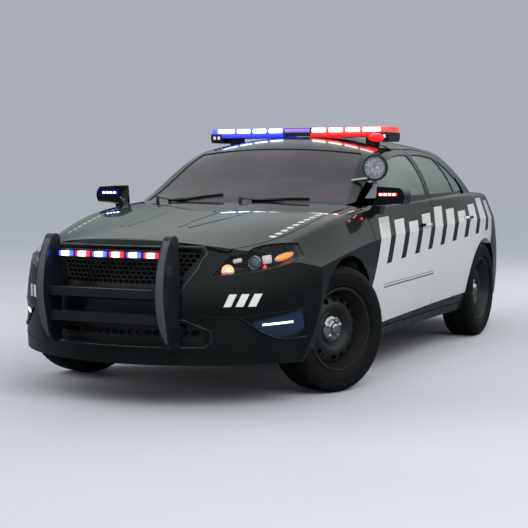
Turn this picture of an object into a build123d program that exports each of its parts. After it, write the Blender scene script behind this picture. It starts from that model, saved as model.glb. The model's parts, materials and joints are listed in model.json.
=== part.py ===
"""Police patrol saloon with a push bumper, roof light bar and pillar spotlight.

Frame: +X is the front of the car, +Y its left side, +Z up, in millimetres.
The origin is on the ground, under the middle of the car's box.
"""
from build123d import *
from collections import namedtuple
from math import atan2, cos, radians, sin
import os

# Overall sizes and the wheels' places
NOSE_X = 2512.0            # front face of the bumper cover, on the centre line
TAIL_X = -2642.0           # rear face of the bumper cover
FRONT_AXLE_X = 1490.0
WHEELBASE = 2868.0
REAR_AXLE_X = FRONT_AXLE_X - WHEELBASE
TYRE_R = 363.0
TYRE_WIDTH = 245.0
RIM_R = 229.0              # bead seat of an 18 inch rim
KINGPIN_Y = 805.0          # the steering axis, inside the wheel's width
KINGPIN_OFFSET = 25.0      # from the steering axis out to the wheel's middle plane
HALF_TRACK = KINGPIN_Y + KINGPIN_OFFSET
STEER_REST = -22.0         # the front wheels stand turned to the right
SILL_Z = 238.0             # lower edge of the body

# Panel gaps and thicknesses
GAP = 6.0                  # shut lines round doors and lids
SEAM = 0.8                 # between fixed panels
SEAT = 0.3                 # running clearance of a piece on its seat
SKIN = 24.0                # bonnet, boot lid, wing and bumper cover
DOOR_T = 62.0              # whole door, below the belt
FRAME_T = 28.0             # window frame of a door
ROOF_T = 32.0
PILLAR_T = 44.0
SIDE_T = 88.0              # sill and body side
POST_T = 54.0              # middle post, behind the doors
POST_GAP = 3.2             # nominal; the doors' inner faces come nearer than this at mid height
GLASS_T = 5.0
GLASS_IN = 6.0             # glass lies this far inside the outer surface
LAMP_IN = 3.0              # lamp faces lie this far inside the outer surface
LAMP_DEPTH = 92.0          # from the outer surface to the back of a lamp
LENS_T = 4.0
LAMP_WALL = 7.0            # sides and back of a headlamp's housing
LAMP_INNER_Y = 482.0       # a headlamp starts this far from the middle plane, clear of the grille
GRILLE_DEEP = 34.0         # surround of a grille, behind the bumper cover
MESH_T = 14.0              # honeycomb of a grille
MESH_IN = 9.0              # honeycomb's front lies this far behind the surround's
PANEL_X = 2200.0           # front face of the radiator panel
PANEL_T = 50.0
FAR = 3000.0               # past the car on any side, for cutting tools

# Lower body: one row for each station along the car, from nose to tail
Lower = namedtuple("Lower", "x y_bot y_mid z_mid y_crease z_crease y_sh z_sh z_top r_sh")
LOWER = [
    Lower(2520, 850, 900, 480, 885, 640, 690, 765, 858, 60),
    Lower(2250, 875, 928, 500, 918, 680, 715, 808, 925, 70),
    Lower(1900, 890, 947, 520, 940, 735, 775, 872, 978, 75),
    Lower(1490, 895, 956, 540, 955, 800, 842, 968, 1032, 70),
    Lower(950, 885, 945, 540, 948, 850, 868, 1040, 1078, 50),
    Lower(200, 876, 938, 540, 946, 872, 880, 1072, 1092, 40),
    Lower(-600, 880, 940, 540, 948, 892, 885, 1090, 1108, 40),
    Lower(-1372, 900, 956, 560, 956, 905, 868, 1098, 1122, 50),
    Lower(-2050, 850, 880, 560, 845, 905, 775, 1080, 1130, 60),
    Lower(-2650, 745, 770, 560, 720, 890, 650, 1050, 1118, 60),
]

# Cabin above the belt: one row for each station
Upper = namedtuple("Upper", "x y_base z_base y_mid z_mid y_rail z_rail z_top r_rail")
UPPER = [
    Upper(1110, 850, 850, 826, 905, 800, 950, 1030, 30),
    Upper(900, 868, 880, 818, 985, 766, 1056, 1146, 34),
    Upper(600, 885, 900, 822, 1095, 700, 1222, 1310, 40),
    Upper(327, 894, 900, 832, 1165, 648, 1368, 1444, 44),
    Upper(0, 898, 900, 838, 1190, 648, 1420, 1502, 48),
    Upper(-400, 900, 900, 838, 1190, 650, 1434, 1516, 48),
    Upper(-800, 897, 900, 832, 1185, 642, 1422, 1508, 48),
    Upper(-1150, 884, 900, 815, 1165, 632, 1392, 1482, 46),
    Upper(-1500, 852, 900, 785, 1120, 622, 1305, 1396, 42),
    Upper(-1850, 800, 890, 735, 1040, 645, 1146, 1190, 34),
    Upper(-2030, 770, 860, 715, 960, 650, 1032, 1072, 30),
]

# Plan shape of nose and tail: how far each height stands back from the foremost or rearmost face
Ends = namedtuple("Ends", "z nose_back tail_back")
ENDS = [
    Ends(140, 30, 70),
    Ends(240, 10, 25),
    Ends(420, 0, 0),
    Ends(640, 22, 8),
    Ends(790, 70, 62),
    Ends(905, 118, 78),
    Ends(1120, 230, 100),
    Ends(1220, 300, 118),
]
END_HALF = 750.0           # half width where the end's long arc meets its corner arc
NOSE_SWEEP = 312.0         # the corner stands this far behind the nose's middle
TAIL_SWEEP = 165.0


# Outlines and prisms

def path(start, steps, place):
    """Closed wire of lines and arcs. A step is an end point, or (through, end) for an arc."""
    edges = []
    here = start
    for step in list(steps) + [start]:
        if isinstance(step[0], tuple):
            through, end = step
            edges.append(Edge.make_three_point_arc(place(*here), place(*through), place(*end)))
        else:
            end = step
            if end == here:
                continue
            edges.append(Edge.make_line(place(*here), place(*end)))
        here = end
    return Wire(edges)


def side(start, *steps):
    """Outline in side view, from (x, z) points."""
    return path(start, steps, lambda x, z: Vector(x, 0, z))


def plan(start, *steps):
    """Outline in plan, from (x, y) points."""
    return path(start, steps, lambda x, y: Vector(x, y, 0))


def front(start, *steps):
    """Outline in front view, from (y, z) points."""
    return path(start, steps, lambda y, z: Vector(0, y, z))


def grown(wire, amount):
    """The outline moved outwards by an amount, or inwards by a negative one."""
    return wire.offset_2d(amount, Kind.ARC)


def prism(wire, low, high):
    """Solid through the body from an outline, between two places along its normal axis."""
    face = Face(wire)
    normal = face.normal_at()
    axis = max(range(3), key=lambda i: abs(tuple(normal)[i]))
    unit = Vector(*[1.0 if i == axis else 0.0 for i in range(3)])
    return Solid.extrude(face.moved(Location(unit * low)), unit * (high - low))


def block(x0, x1, y0, y1, z0, z1):
    """Box between two corners."""
    return Solid.make_box(x1 - x0, y1 - y0, z1 - z0).moved(Location((x0, y0, z0)))


def tube(start, end, radius):
    """Round bar between two points."""
    line = Vector(*end) - Vector(*start)
    return Solid.make_cylinder(radius, line.length, Plane(origin=start, z_dir=line))


def both(shape):
    """The shape and its mirror image on the car's other side."""
    return [shape, shape.mirror(Plane.XZ)]


def fuse(first, *others):
    """One shape from several that overlap or touch."""
    return first.fuse(*others) if others else first


def common(one, other):
    """What two shapes share."""
    solids = one.intersect(other).solids()
    return solids[0] if len(solids) == 1 else Compound(solids)


def biggest(shape, count=1):
    """The largest solids of a shape, leaving slivers out."""
    solids = sorted(shape.solids(), key=lambda s: -s.volume)[:count]
    return solids[0] if count == 1 else Compound(solids)


# The outer form and its inner offsets

def lower_section(row, inset, top, bottom):
    """Half-round section of the lower body at one station."""
    def point(y, z):
        return Vector(row.x, y, z)

    y_bot, y_mid = row.y_bot - inset, row.y_mid - inset
    y_crease, y_sh = row.y_crease - inset, row.y_sh - inset
    z_bot, z_sh, z_top = SILL_Z + bottom, row.z_sh - top, row.z_top - top
    edges = [
        Edge.make_line(point(-y_bot, z_bot), point(y_bot, z_bot)),
        Edge.make_three_point_arc(point(y_bot, z_bot), point(y_mid, row.z_mid), point(y_crease, row.z_crease)),
        Edge.make_line(point(y_crease, row.z_crease), point(y_sh, z_sh)),
        Edge.make_three_point_arc(point(y_sh, z_sh), point(0, z_top), point(-y_sh, z_sh)),
        Edge.make_line(point(-y_sh, z_sh), point(-y_crease, row.z_crease)),
        Edge.make_three_point_arc(point(-y_crease, row.z_crease), point(-y_mid, row.z_mid), point(-y_bot, z_bot)),
    ]
    wire = Wire(edges)
    shoulders = [v for v in wire.vertices() if abs(abs(v.Y) - y_sh) < 0.01 and abs(v.Z - z_sh) < 0.01]
    return wire.fillet_2d(row.r_sh, shoulders)


def upper_section(row, inset, top):
    """Section of the cabin at one station."""
    def point(y, z):
        return Vector(row.x, y, z)

    y_base, y_mid, y_rail = row.y_base - inset, row.y_mid - inset, row.y_rail - inset
    z_rail, z_top = row.z_rail - top, row.z_top - top
    edges = [
        Edge.make_line(point(-y_base, row.z_base), point(y_base, row.z_base)),
        Edge.make_three_point_arc(point(y_base, row.z_base), point(y_mid, row.z_mid), point(y_rail, z_rail)),
        Edge.make_three_point_arc(point(y_rail, z_rail), point(0, z_top), point(-y_rail, z_rail)),
        Edge.make_three_point_arc(point(-y_rail, z_rail), point(-y_mid, row.z_mid), point(-y_base, row.z_base)),
    ]
    wire = Wire(edges)
    rails = [v for v in wire.vertices() if abs(abs(v.Y) - y_rail) < 0.01 and abs(v.Z - z_rail) < 0.01]
    return wire.fillet_2d(row.r_rail, rails)


def end_section(row, back):
    """Plan outline of the whole car at one height, with its bowed nose and tail."""
    nose = NOSE_X - row.nose_back - back
    tail = TAIL_X + row.tail_back + back
    wide = 1010.0
    return plan(
        (nose - NOSE_SWEEP, -END_HALF),
        ((nose, 0), (nose - NOSE_SWEEP, END_HALF)),
        ((nose - NOSE_SWEEP - 190, END_HALF + 145), (nose - NOSE_SWEEP - 480, wide)),
        (tail + TAIL_SWEEP + 420, wide),
        ((tail + TAIL_SWEEP + 130, END_HALF + 120), (tail + TAIL_SWEEP - 60, END_HALF - 110)),
        ((tail, 0), (tail + TAIL_SWEEP - 60, -END_HALF + 110)),
        ((tail + TAIL_SWEEP + 130, -END_HALF - 120), (tail + TAIL_SWEEP + 420, -wide)),
        (nose - NOSE_SWEEP - 480, -wide),
        ((nose - NOSE_SWEEP - 190, -END_HALF - 145), (nose - NOSE_SWEEP, -END_HALF)),
    ).moved(Location((0, 0, row.z)))


def lower_length(inset, top, bottom):
    """Lower body as one loft along the car, without the bowed nose and tail."""
    return Solid.make_loft([lower_section(row, inset, top, bottom) for row in LOWER])


def lower_form(inset=0.0, top=0.0, bottom=0.0, back=0.0):
    """Lower body as a solid, its surfaces moved inwards by the given amounts."""
    upright = Solid.make_loft([end_section(row, back) for row in ENDS])
    return common(lower_length(inset, top, bottom), upright)


def upper_form(inset=0.0, top=0.0):
    """Cabin as a solid, its surfaces moved inwards by the given amounts."""
    return Solid.make_loft([upper_section(row, inset, top) for row in UPPER])


# Shut lines, in side view and in plan

DOOR_FRONT_X = 1020.0
DOOR_SPLIT_X = -203.0      # middle of the gap between the doors, at the sill
DOOR_SPLIT_BELT_X = -234.0  # the same at the belt, where the gap leans back with the pillar
BELT_GAP = 8.0             # between the doors at the belt
DOOR_LOW_Z = 300.0
ARCH_FRONT_R = 418.0
ARCH_REAR_R = 390.0
AXLE_Z = TYRE_R

FRONT_DOOR = side(
    (DOOR_FRONT_X, DOOR_LOW_Z),
    (DOOR_FRONT_X, 960),
    (DOOR_FRONT_X - 12, 1030),
    (860, 1068),
    ((600, 1196), (327, 1344)),
    ((60, 1398), (-262, 1410)),
    (DOOR_SPLIT_BELT_X + BELT_GAP / 2, 1100),
    (DOOR_SPLIT_X + GAP / 2, DOOR_LOW_Z),
)
REAR_DOOR = side(
    (DOOR_SPLIT_X - GAP / 2, DOOR_LOW_Z),
    (DOOR_SPLIT_BELT_X - BELT_GAP / 2, 1100),
    (-276, 1410),
    ((-560, 1410), (-850, 1388)),
    ((-1040, 1300), (-1205, 1140)),
    (-1205, 1080),
    (-1150, 830),
    ((-1020, 610), (-950, 400)),
    (-945, DOOR_LOW_Z),
)
FRONT_WINDOW = side(
    (735, 1092),
    ((540, 1190), (320, 1306)),
    ((60, 1362), (-222, 1376)),
    (-182, 1104),
)
REAR_WINDOW = side(
    (-256, 1104),
    (-304, 1376),
    ((-560, 1378), (-822, 1358)),
    (-872, 1112),
)
QUARTER_WINDOW = side(
    (-900, 1113),
    (-852, 1354),
    ((-1010, 1276), (-1140, 1150)),
    (-1150, 1121),
)
BONNET = plan(
    (2382, 0),
    ((2340, 360), (2255, 575)),
    ((1900, 690), (1500, 745)),
    (1006, 772),
    ((1128, 0), (1006, -772)),
    (1500, -745),
    ((1900, -690), (2255, -575)),
    ((2340, -360), (2382, 0)),
)
WINDSCREEN = plan(
    (905, 712),
    ((1046, 0), (905, -712)),
    (330, -588),
    ((402, 0), (330, 588)),
)
BACK_WINDOW = plan(
    (-1262, 540),
    ((-1232, 0), (-1262, -540)),
    (-1838, -572),
    ((-1900, 0), (-1838, 572)),
)
BOOT_FRONT_X = -1985.0
BOOT_LOW_Z = 800.0
BOOT = plan(
    (BOOT_FRONT_X + 40, 600),
    ((BOOT_FRONT_X, 0), (BOOT_FRONT_X + 40, -600)),
    (-2300, -590),
    (-FAR, -575),
    (-FAR, 575),
    (-2300, 590),
)
HEADLAMP = side(
    (2351, 700),
    (2263, 818),
    ((2080, 858), (1858, 868)),
    (1907, 806),
    ((2114, 742), (2351, 700)),
)
TAIL_LAMP = side(
    (-2230, 985),
    (-FAR, 1010),
    (-FAR, 850),
    (-2330, 850),
)
WING = side(
    (DOOR_FRONT_X - 200, 100),
    (1500, 100),
    (1500, 500),
    (1800, 596),
    (1838, 690),
    (1885, 800),
    (2000, 830),
    (2262, 822),
    (2330, 1200),
    (800, 1200),
)
REAR_BUMPER = side(
    (-1500, 100),
    (-1500, 500),
    (-1690, 600),
    (-1760, 690),
    (-2240, 770),
    (-2300, 794),
    (-FAR, 794),
    (-FAR, 100),
)
UPPER_GRILLE = front(
    (357, 632),
    (462, 812),
    (440, 850),
    (-440, 850),
    (-462, 812),
    (-357, 632),
)
LOWER_GRILLE = front(
    (480, 345),
    (512, 372),
    (512, 412),
    (380, 470),
    (-380, 470),
    (-512, 412),
    (-512, 372),
    (-480, 345),
)
GRILLES = [                # outline, heights that span it, and a cell's half width, half height and wall
    (UPPER_GRILLE, 600, 845, 14.5, 12.5, 4.0),
    (LOWER_GRILLE, 330, 485, 21.5, 18.5, 5.0),
]
PROJECTOR = (2160.0, 674.0, 773.0)  # middle of the lens of a headlamp projector
PROJECTOR_R = 34.0
LAMP_POCKET = side(
    (2240, 470),
    (2000, 525),
    (1990, 420),
    ((2110, 380), (2240, 440)),
)


# Shared solids

OUTER = lower_form()
OUTER_TOP = upper_form()
SKIN_INNER = lower_form(SKIN, SKIN, -200.0, SKIN)
DOOR_INNER = lower_length(DOOR_T, -120.0, -200.0)
FRAME_INNER = upper_form(FRAME_T, FRAME_T)


def arch(axle_x, radius, sign):
    """Cutter for one wheel arch."""
    return tube((axle_x, sign * 620, AXLE_Z), (axle_x, sign * FAR, AXLE_Z), radius)


SHELL_INNER = lower_form(SIDE_T, ROOF_T, -200.0, SKIN)
CABIN_SPACE = lower_length(SIDE_T + SEAT, ROOF_T + SEAT, -200.0)
UNDER_SKIN = lower_form(SKIN + SEAT, SKIN + SEAT, -200.0, SKIN + SEAT)
LAMP_FACE = lower_form(LAMP_IN, LAMP_IN, 0.0, LAMP_IN)
LAMP_BACK = lower_form(LAMP_DEPTH, LAMP_DEPTH, -200.0, LAMP_DEPTH)
LENS_BACK = lower_form(LAMP_IN + LENS_T, LAMP_IN + LENS_T, -200.0, LAMP_IN + LENS_T)
ARCHES = [arch(x, r, s) for x, r in ((FRONT_AXLE_X, ARCH_FRONT_R), (REAR_AXLE_X, ARCH_REAR_R)) for s in (1, -1)]


JACK_X = 400.0             # middle of the flat under each sill, where the car is lifted
JACK_LONG = 120.0
JACK_Z = SILL_Z + 2


def body_shell():
    """Roof, pillars, middle posts, quarters, sills and cowl in one welded shell."""
    inner_top = upper_form(PILLAR_T, ROOF_T)
    shell = OUTER.fuse(OUTER_TOP).cut(SHELL_INNER, inner_top)
    shell = shell.cut(block(1150, FAR, -FAR, FAR, 0, FAR))
    for flip in (1, -1):
        outside = block(DOOR_FRONT_X + SEAM, FAR, 776, FAR, 0, FAR)
        shell = shell.cut(outside if flip > 0 else outside.mirror(Plane.XZ))
    shell = shell.cut(prism(grown(BONNET, GAP), 700, FAR))
    shell = shell.cut(prism(grown(BOOT, GAP), BOOT_LOW_Z - GAP, FAR))
    shell = shell.cut(prism(grown(WINDSCREEN, SEAT), 940, FAR))
    shell = shell.cut(prism(grown(BACK_WINDOW, SEAT), 1000, FAR))
    shell = shell.cut(prism(grown(REAR_BUMPER, SEAM), -FAR, FAR))
    for door in (FRONT_DOOR, REAR_DOOR):
        shell = shell.cut(prism(grown(door, GAP), -FAR, FAR))
    shell = shell.cut(*both(prism(grown(TAIL_LAMP, SEAM), 640, FAR)))
    shell = shell.cut(*ARCHES)
    jack = block(JACK_X - JACK_LONG / 2, JACK_X + JACK_LONG / 2, 700, 1000, 0, JACK_Z)
    shell = shell.cut(*both(jack))
    region = prism(side((-120, SILL_Z + 2), (-150, 1100), (-220, 1440), (-310, 1440), (-280, 1100), (-280, SILL_Z + 2)),
                   560, 950)
    low = common(lower_length(DOOR_T + POST_GAP, -120.0, -200.0), region).cut(
        lower_length(DOOR_T + POST_GAP + POST_T, -120.0, -200.0), block(-400, 0, 0, FAR, 1130, FAR))
    high = common(upper_form(FRAME_T + 6, FRAME_T), region).cut(
        upper_form(FRAME_T + 40, ROOF_T + 10), block(-400, 0, 0, FAR, 0, 1070))
    return biggest(shell.fuse(*both(low), *both(high)))


def door_blank():
    """Skin and frame of the body side, as thick as the doors."""
    blank = OUTER.fuse(OUTER_TOP).cut(DOOR_INNER, FRAME_INNER)
    return blank.cut(block(-FAR, FAR, -500, FAR, 0, FAR))


def glass_blank():
    """Layer in which all window glass lies."""
    outside = upper_form(GLASS_IN, GLASS_IN)
    return outside.cut(upper_form(GLASS_IN + GLASS_T, GLASS_IN + GLASS_T))


def doors(blank, glass):
    """Four doors and their glass, by node name."""
    parts = {}
    table = [
        ("door_front", FRONT_DOOR, [FRONT_WINDOW]),
        ("door_rear", REAR_DOOR, [REAR_WINDOW, QUARTER_WINDOW]),
    ]
    for name, outline, windows in table:
        door = common(blank, prism(outline, -FAR, 0))
        panes = []
        for window in windows:
            door = door.cut(prism(window, -FAR, 0))
            pane = common(glass, prism(grown(window, -SEAT), -FAR, -300))
            panes.append(biggest(pane))
        door = biggest(door.cut(*ARCHES))
        parts[name + "_right"] = door
        parts[name + "_left"] = door.mirror(Plane.XZ)
        parts[name + "_right_glass"] = Compound(panes)
        parts[name + "_left_glass"] = Compound([pane.mirror(Plane.XZ) for pane in panes])
    return parts


def front_panels():
    """Bonnet, wings, bumper cover and the headlamps between them."""
    skin = OUTER.cut(SKIN_INNER).cut(block(-FAR, 900, -FAR, FAR, 0, FAR))
    bonnet = common(skin, prism(BONNET, 835, FAR))
    bonnet = biggest(bonnet.cut(*both(prism(grown(HEADLAMP, GAP), 430, FAR))))
    rest = skin.cut(prism(grown(BONNET, GAP), 829, FAR), *ARCHES)
    lamp_hole = prism(grown(HEADLAMP, SEAM), 430, FAR)
    rest = rest.cut(*both(lamp_hole))
    wing = common(rest, prism(WING, 0, FAR))
    wing = wing.cut(prism(grown(FRONT_DOOR, GAP), 0, FAR), block(0, 1300, -FAR, 776 + SEAM, 0, FAR))
    wing = biggest(wing.cut(block(0, DOOR_FRONT_X + 2, 0, FAR, 0, FAR)))
    cover = rest.cut(prism(grown(WING, SEAM), -FAR, FAR), block(0, 1600, -FAR, FAR, 0, FAR))
    cover = cover.cut(prism(UPPER_GRILLE, 2000, FAR), prism(LOWER_GRILLE, 2000, FAR))
    cover = biggest(cover.cut(*both(prism(grown(LAMP_POCKET, SEAM), 640, FAR))))
    corner = biggest(common(UNDER_SKIN, prism(LAMP_POCKET, 640, FAR)).cut(LAMP_BACK))
    return {
        "bonnet": bonnet,
        "front_wings": Compound(both(wing)),
        "front_bumper": cover,
        "corner_lamps": Compound(both(corner)),
    }


def headlamps():
    """Headlamp housings, open to the front, with a projector in each, and their clear lenses."""
    lens = biggest(common(LAMP_FACE, prism(HEADLAMP, LAMP_INNER_Y, FAR)).cut(LENS_BACK))
    face = LAMP_IN + LENS_T + SEAT
    floor = LAMP_DEPTH - LAMP_WALL
    housing = common(lower_form(face, face, -200.0, face), prism(HEADLAMP, LAMP_INNER_Y, FAR)).cut(LAMP_BACK)
    pocket = prism(grown(HEADLAMP, -LAMP_WALL), LAMP_INNER_Y + LAMP_WALL, FAR)
    housing = biggest(housing).cut(pocket.cut(lower_form(floor, floor, -200.0, floor)))
    x, y, z = PROJECTOR
    barrel = tube((x - 85, y, z), (x, y, z), PROJECTOR_R)
    collar = tube((x - 20, y, z), (x - 8, y, z), PROJECTOR_R + 6)
    bore = tube((x - 12, y, z), (x + 20, y, z), PROJECTOR_R - 5)
    whole = biggest(housing.fuse(barrel, collar).cut(bore))
    return {"headlamps": Compound(both(whole)), "headlamp_lenses": Compound(both(lens))}


def rear_panels():
    """Boot lid, rear bumper cover and tail lamps."""
    skin = OUTER.cut(SKIN_INNER).cut(block(-1400, FAR, -FAR, FAR, 0, FAR))
    lid = common(skin, prism(BOOT, BOOT_LOW_Z, FAR))
    lid = biggest(lid)
    cover = biggest(common(skin, prism(REAR_BUMPER, -FAR, FAR)).cut(*ARCHES))
    lamp = biggest(common(LAMP_FACE, prism(TAIL_LAMP, 641, FAR)).cut(LAMP_BACK))
    return {"boot_lid": lid, "rear_bumper": cover, "tail_lamps": Compound(both(lamp))}


def cell(y, z, half_wide, half_high):
    """One hexagonal cell, its points up and down."""
    return front(
        (y, z + half_high),
        (y + half_wide, z + half_high / 2),
        (y + half_wide, z - half_high / 2),
        (y, z - half_high),
        (y - half_wide, z - half_high / 2),
        (y - half_wide, z + half_high / 2),
    )


def cells_within(outline, half_wide, half_high, wall):
    """Staggered hexagonal cells that lie wholly inside an outline, mirrored about the middle plane."""
    inside = Face(outline)
    box = outline.bounding_box()
    pitch_y, pitch_z = 2 * half_wide + wall, 1.5 * half_high + wall
    middle = (box.min.Z + box.max.Z) / 2
    rows = int((box.max.Z - box.min.Z) / pitch_z / 2) + 1
    found = []
    for row in range(-rows, rows + 1):
        shift = pitch_y / 2 if row % 2 else 0.0
        for column in range(int(box.max.Y / pitch_y) + 1):
            y, z = column * pitch_y + shift, middle + row * pitch_z
            corners = [v.center() for v in cell(y, z, half_wide, half_high).vertices()]
            if all(inside.is_inside(corner) for corner in corners):
                found += [cell(place, z, half_wide, half_high) for place in {y, -y}]
    return found


def nose_back(z):
    """How far the nose's middle stands back at a height."""
    for low, high in zip(ENDS, ENDS[1:]):
        if low.z <= z <= high.z:
            return low.nose_back + (high.nose_back - low.nose_back) * (z - low.z) / (high.z - low.z)


def mesh_layer(low_z, high_z):
    """Part of a leaning tube, bowed like the nose, in which a grille's honeycomb lies."""
    low_x = NOSE_X - nose_back(low_z) - SKIN - SEAT - MESH_IN
    lean = atan2(nose_back(high_z) - nose_back(low_z), high_z - low_z)
    radius = (END_HALF ** 2 + NOSE_SWEEP ** 2) / (2 * NOSE_SWEEP) / cos(lean)
    up = Vector(-sin(lean), 0, cos(lean))
    foot = Vector(low_x - radius / cos(lean), 0, low_z) - up * 300
    axis = Plane(origin=foot, x_dir=(-cos(lean), 0, -sin(lean)), z_dir=up)
    return Solid.make_cylinder(radius, 900, axis).cut(Solid.make_cylinder(radius - MESH_T, 900, axis))


def grilles():
    """Honeycomb panels, each in its own surround behind an opening of the front bumper cover."""
    inner = SKIN + SEAT + GRILLE_DEEP
    depth = UNDER_SKIN.cut(lower_form(inner, inner, -200, inner), block(0, FAR, -FAR, FAR, 852, FAR))
    depth = common(depth, block(PANEL_X + GAP, FAR, -700, 700, 300, FAR))
    arms = [block(2200, 2500, s * PUSH_Y - 23, s * PUSH_Y + 23, 397, 453) for s in (1, -1)]
    panels = []
    for outline, low_z, high_z, half_wide, half_high, wall in GRILLES:
        ring = prism(grown(outline, 10), 2000, FAR).cut(prism(grown(outline, -9), 2000, FAR))
        panels.append(biggest(common(depth, ring).cut(*arms)))
        pattern = Face(grown(outline, -9 - SEAT), cells_within(grown(outline, -12), half_wide, half_high, wall))
        pattern = Solid.extrude(pattern.moved(Location((2000, 0, 0))), Vector(600, 0, 0))
        panels.append(biggest(common(pattern, mesh_layer(low_z, high_z)).cut(*arms)))
    return Compound(panels)


def fixed_glass(glass):
    """Windscreen and rear window."""
    screen = biggest(common(glass, prism(WINDSCREEN, 960, FAR)))
    back = biggest(common(glass, prism(BACK_WINDOW, 1000, FAR)))
    return Compound([screen, back])


# Structure under the skin

FLOOR_Z = 240.0
FLOOR_T = 26.0
BULKHEAD_X = 1030.0
HEEL_X = -985.0
BOOT_FLOOR_Z = 440.0
TUNNEL_HALF = 100.0
TUNNEL_TOP = 340.0


def floor_pan():
    """Cabin floor, heelboard, boot floor and front bulkhead."""
    top = FLOOR_Z + FLOOR_T
    wall = FLOOR_T
    cabin = block(HEEL_X, BULKHEAD_X, -850, 850, FLOOR_Z, top)
    heel = block(HEEL_X - wall, HEEL_X, -635, 635, FLOOR_Z, BOOT_FLOOR_Z + wall)
    boot = block(-2440, HEEL_X - wall, -635, 635, BOOT_FLOOR_Z, BOOT_FLOOR_Z + wall)
    bulkhead = block(BULKHEAD_X, BULKHEAD_X + wall, -850, 850, FLOOR_Z, 1010)
    tunnel = block(HEEL_X, BULKHEAD_X, -TUNNEL_HALF - wall, TUNNEL_HALF + wall, FLOOR_Z, TUNNEL_TOP + wall)
    floor = fuse(cabin, heel, boot, bulkhead, tunnel)
    floor = floor.cut(block(HEEL_X - 60, BULKHEAD_X + 60, -TUNNEL_HALF, TUNNEL_HALF, 0, TUNNEL_TOP))
    floor = biggest(common(floor, CABIN_SPACE).cut(*both(block(-283, -117, 785, 1000, 0, 400))))
    tail = fuse(block(-2440 - wall, -2440, -560, 560, BOOT_FLOOR_Z, 620), block(-2640, -2440, -560, 560, 600, 830))
    return fuse(floor, biggest(common(tail, UNDER_SKIN)))


def wheel_wells():
    """Liner of each wheel arch, open at the side and below."""
    wells = []
    for axle_x, radius, inner in ((FRONT_AXLE_X, ARCH_FRONT_R + 4, 500), (REAR_AXLE_X, ARCH_REAR_R + 4, 640)):
        shell = tube((axle_x, inner, AXLE_Z), (axle_x, 905, AXLE_Z), radius + 6)
        shell = shell.cut(tube((axle_x, inner + 6, AXLE_Z), (axle_x, 915, AXLE_Z), radius))
        shell = shell.cut(block(axle_x - 600, axle_x + 600, 0, 1000, 0, AXLE_Z + 20))
        window = block(axle_x - 170, axle_x + 170, inner - 10, inner + 20, 0, 620)
        wells += both(biggest(common(shell.cut(window), UNDER_SKIN if axle_x > 0 else CABIN_SPACE)))
    return Compound(wells)


def front_frame():
    """Side rails, bumper beam and radiator panel ahead of the bulkhead."""
    rails = [block(BULKHEAD_X + FLOOR_T + SEAT, 2270, s * 440 - 35, s * 440 + 35, 430, 560) for s in (1, -1)]
    beam = block(2270, 2330, -485, 485, 400, 560)
    panel = block(PANEL_X - PANEL_T, PANEL_X, -405, 405, 260, 780)
    middle = PANEL_X - PANEL_T / 2
    buffers = [tube((middle, s * 360, 770), (middle, s * 360, 980), 14) for s in (1, -1)]
    return fuse(beam, *rails, panel, *[biggest(common(buffer, UNDER_SKIN)) for buffer in buffers])


# Wheels and what carries them

VENTS = 18                 # round vents of a wheel disc
VENT_R = 16.5
VENT_RING = 169.0


def knuckle_frame(sign):
    """Place of a steered wheel: outboard is local +Y, turned about the steering axis."""
    turn = STEER_REST if sign > 0 else STEER_REST + 180
    return Location((FRONT_AXLE_X, sign * KINGPIN_Y, AXLE_Z), (0, 0, turn))


def wheel_frame(front_axle, sign):
    """Place of a wheel's middle, with local +Y outboard."""
    if front_axle:
        return knuckle_frame(sign) * Location((0, KINGPIN_OFFSET, 0))
    turn = 0 if sign > 0 else 180
    return Location((REAR_AXLE_X, sign * HALF_TRACK, AXLE_Z), (0, 0, turn))


def spun(start, *steps):
    """Ring about the local Y axis, from a half section of (radius, y) points."""
    wire = path(start, steps, lambda r, y: Vector(r, y, 0))
    return Solid.revolve(Face(wire), 360, Axis.Y)


def tyre():
    """Tyre with bevelled shoulders and bulged sidewalls, in eight bands."""
    half = TYRE_WIDTH / 2
    bead = RIM_R + SEAT
    side_wall = [(bead, 90), (bead + 56, half), (TYRE_R - 30, half - 8), (TYRE_R, half - 34)]
    return spun(*[(r, -y) for r, y in side_wall], *reversed(side_wall))


def rim():
    """Pressed steel wheel: barrel, dished disc with round vents, hub flange."""
    barrel = spun(
        (RIM_R, -94), (RIM_R + 12, -104), (RIM_R - 4, -106), (RIM_R - 30, -30),
        (RIM_R - 30, 30), (RIM_R - 4, 106), (RIM_R + 12, 104), (RIM_R, 94),
        (RIM_R, 62), (RIM_R - 22, 34), (RIM_R - 22, -34), (RIM_R, -62),
    )
    disc = spun(
        (30, 26), (84, 26), (98, 46), (124, 60), (148, 58), (192, 34), (RIM_R - 28, 20),
        (RIM_R - 28, 10), (188, 24), (146, 48), (126, 50), (106, 36), (90, 16), (30, 16),
    )
    whole = barrel.fuse(disc)
    places = [(VENT_RING * cos(radians(a)), 0, VENT_RING * sin(radians(a))) for a in range(0, 360, 360 // VENTS)]
    return whole.cut(*[Solid.make_cylinder(VENT_R, 80, Plane(origin=p, z_dir=(0, 1, 0))) for p in places])


def cap():
    """Bright centre cap on the wheel's hub."""
    return spun((0, 16.3), (29, 16.3), (29, 27), (70, 27), (65, 42), (42, 52), (38, 66), (25, 73), (0, 75))


def wheels():
    """Tyre, rim and cap of each wheel, by node name."""
    parts = {}
    shapes = {"tyre": tyre(), "rim": rim(), "cap": cap()}
    for end, front_axle in (("front", True), ("rear", False)):
        for hand, sign in (("left", 1), ("right", -1)):
            place = wheel_frame(front_axle, sign)
            for name, shape in shapes.items():
                parts[f"{name}_{end}_{hand}"] = shape.moved(place)
    return parts


def knuckle():
    """Steering knuckle with its stub axle and brake caliper, in the wheel's local frame."""
    upright = block(-26, 26, -22, 18, -138, 138)
    stub = tube((0, -22, 0), (0, KINGPIN_OFFSET + 15.7, 0), 28)
    arm = block(-150, 0, -20, 6, -70, -46)
    return fuse(upright, stub, arm)


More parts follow.
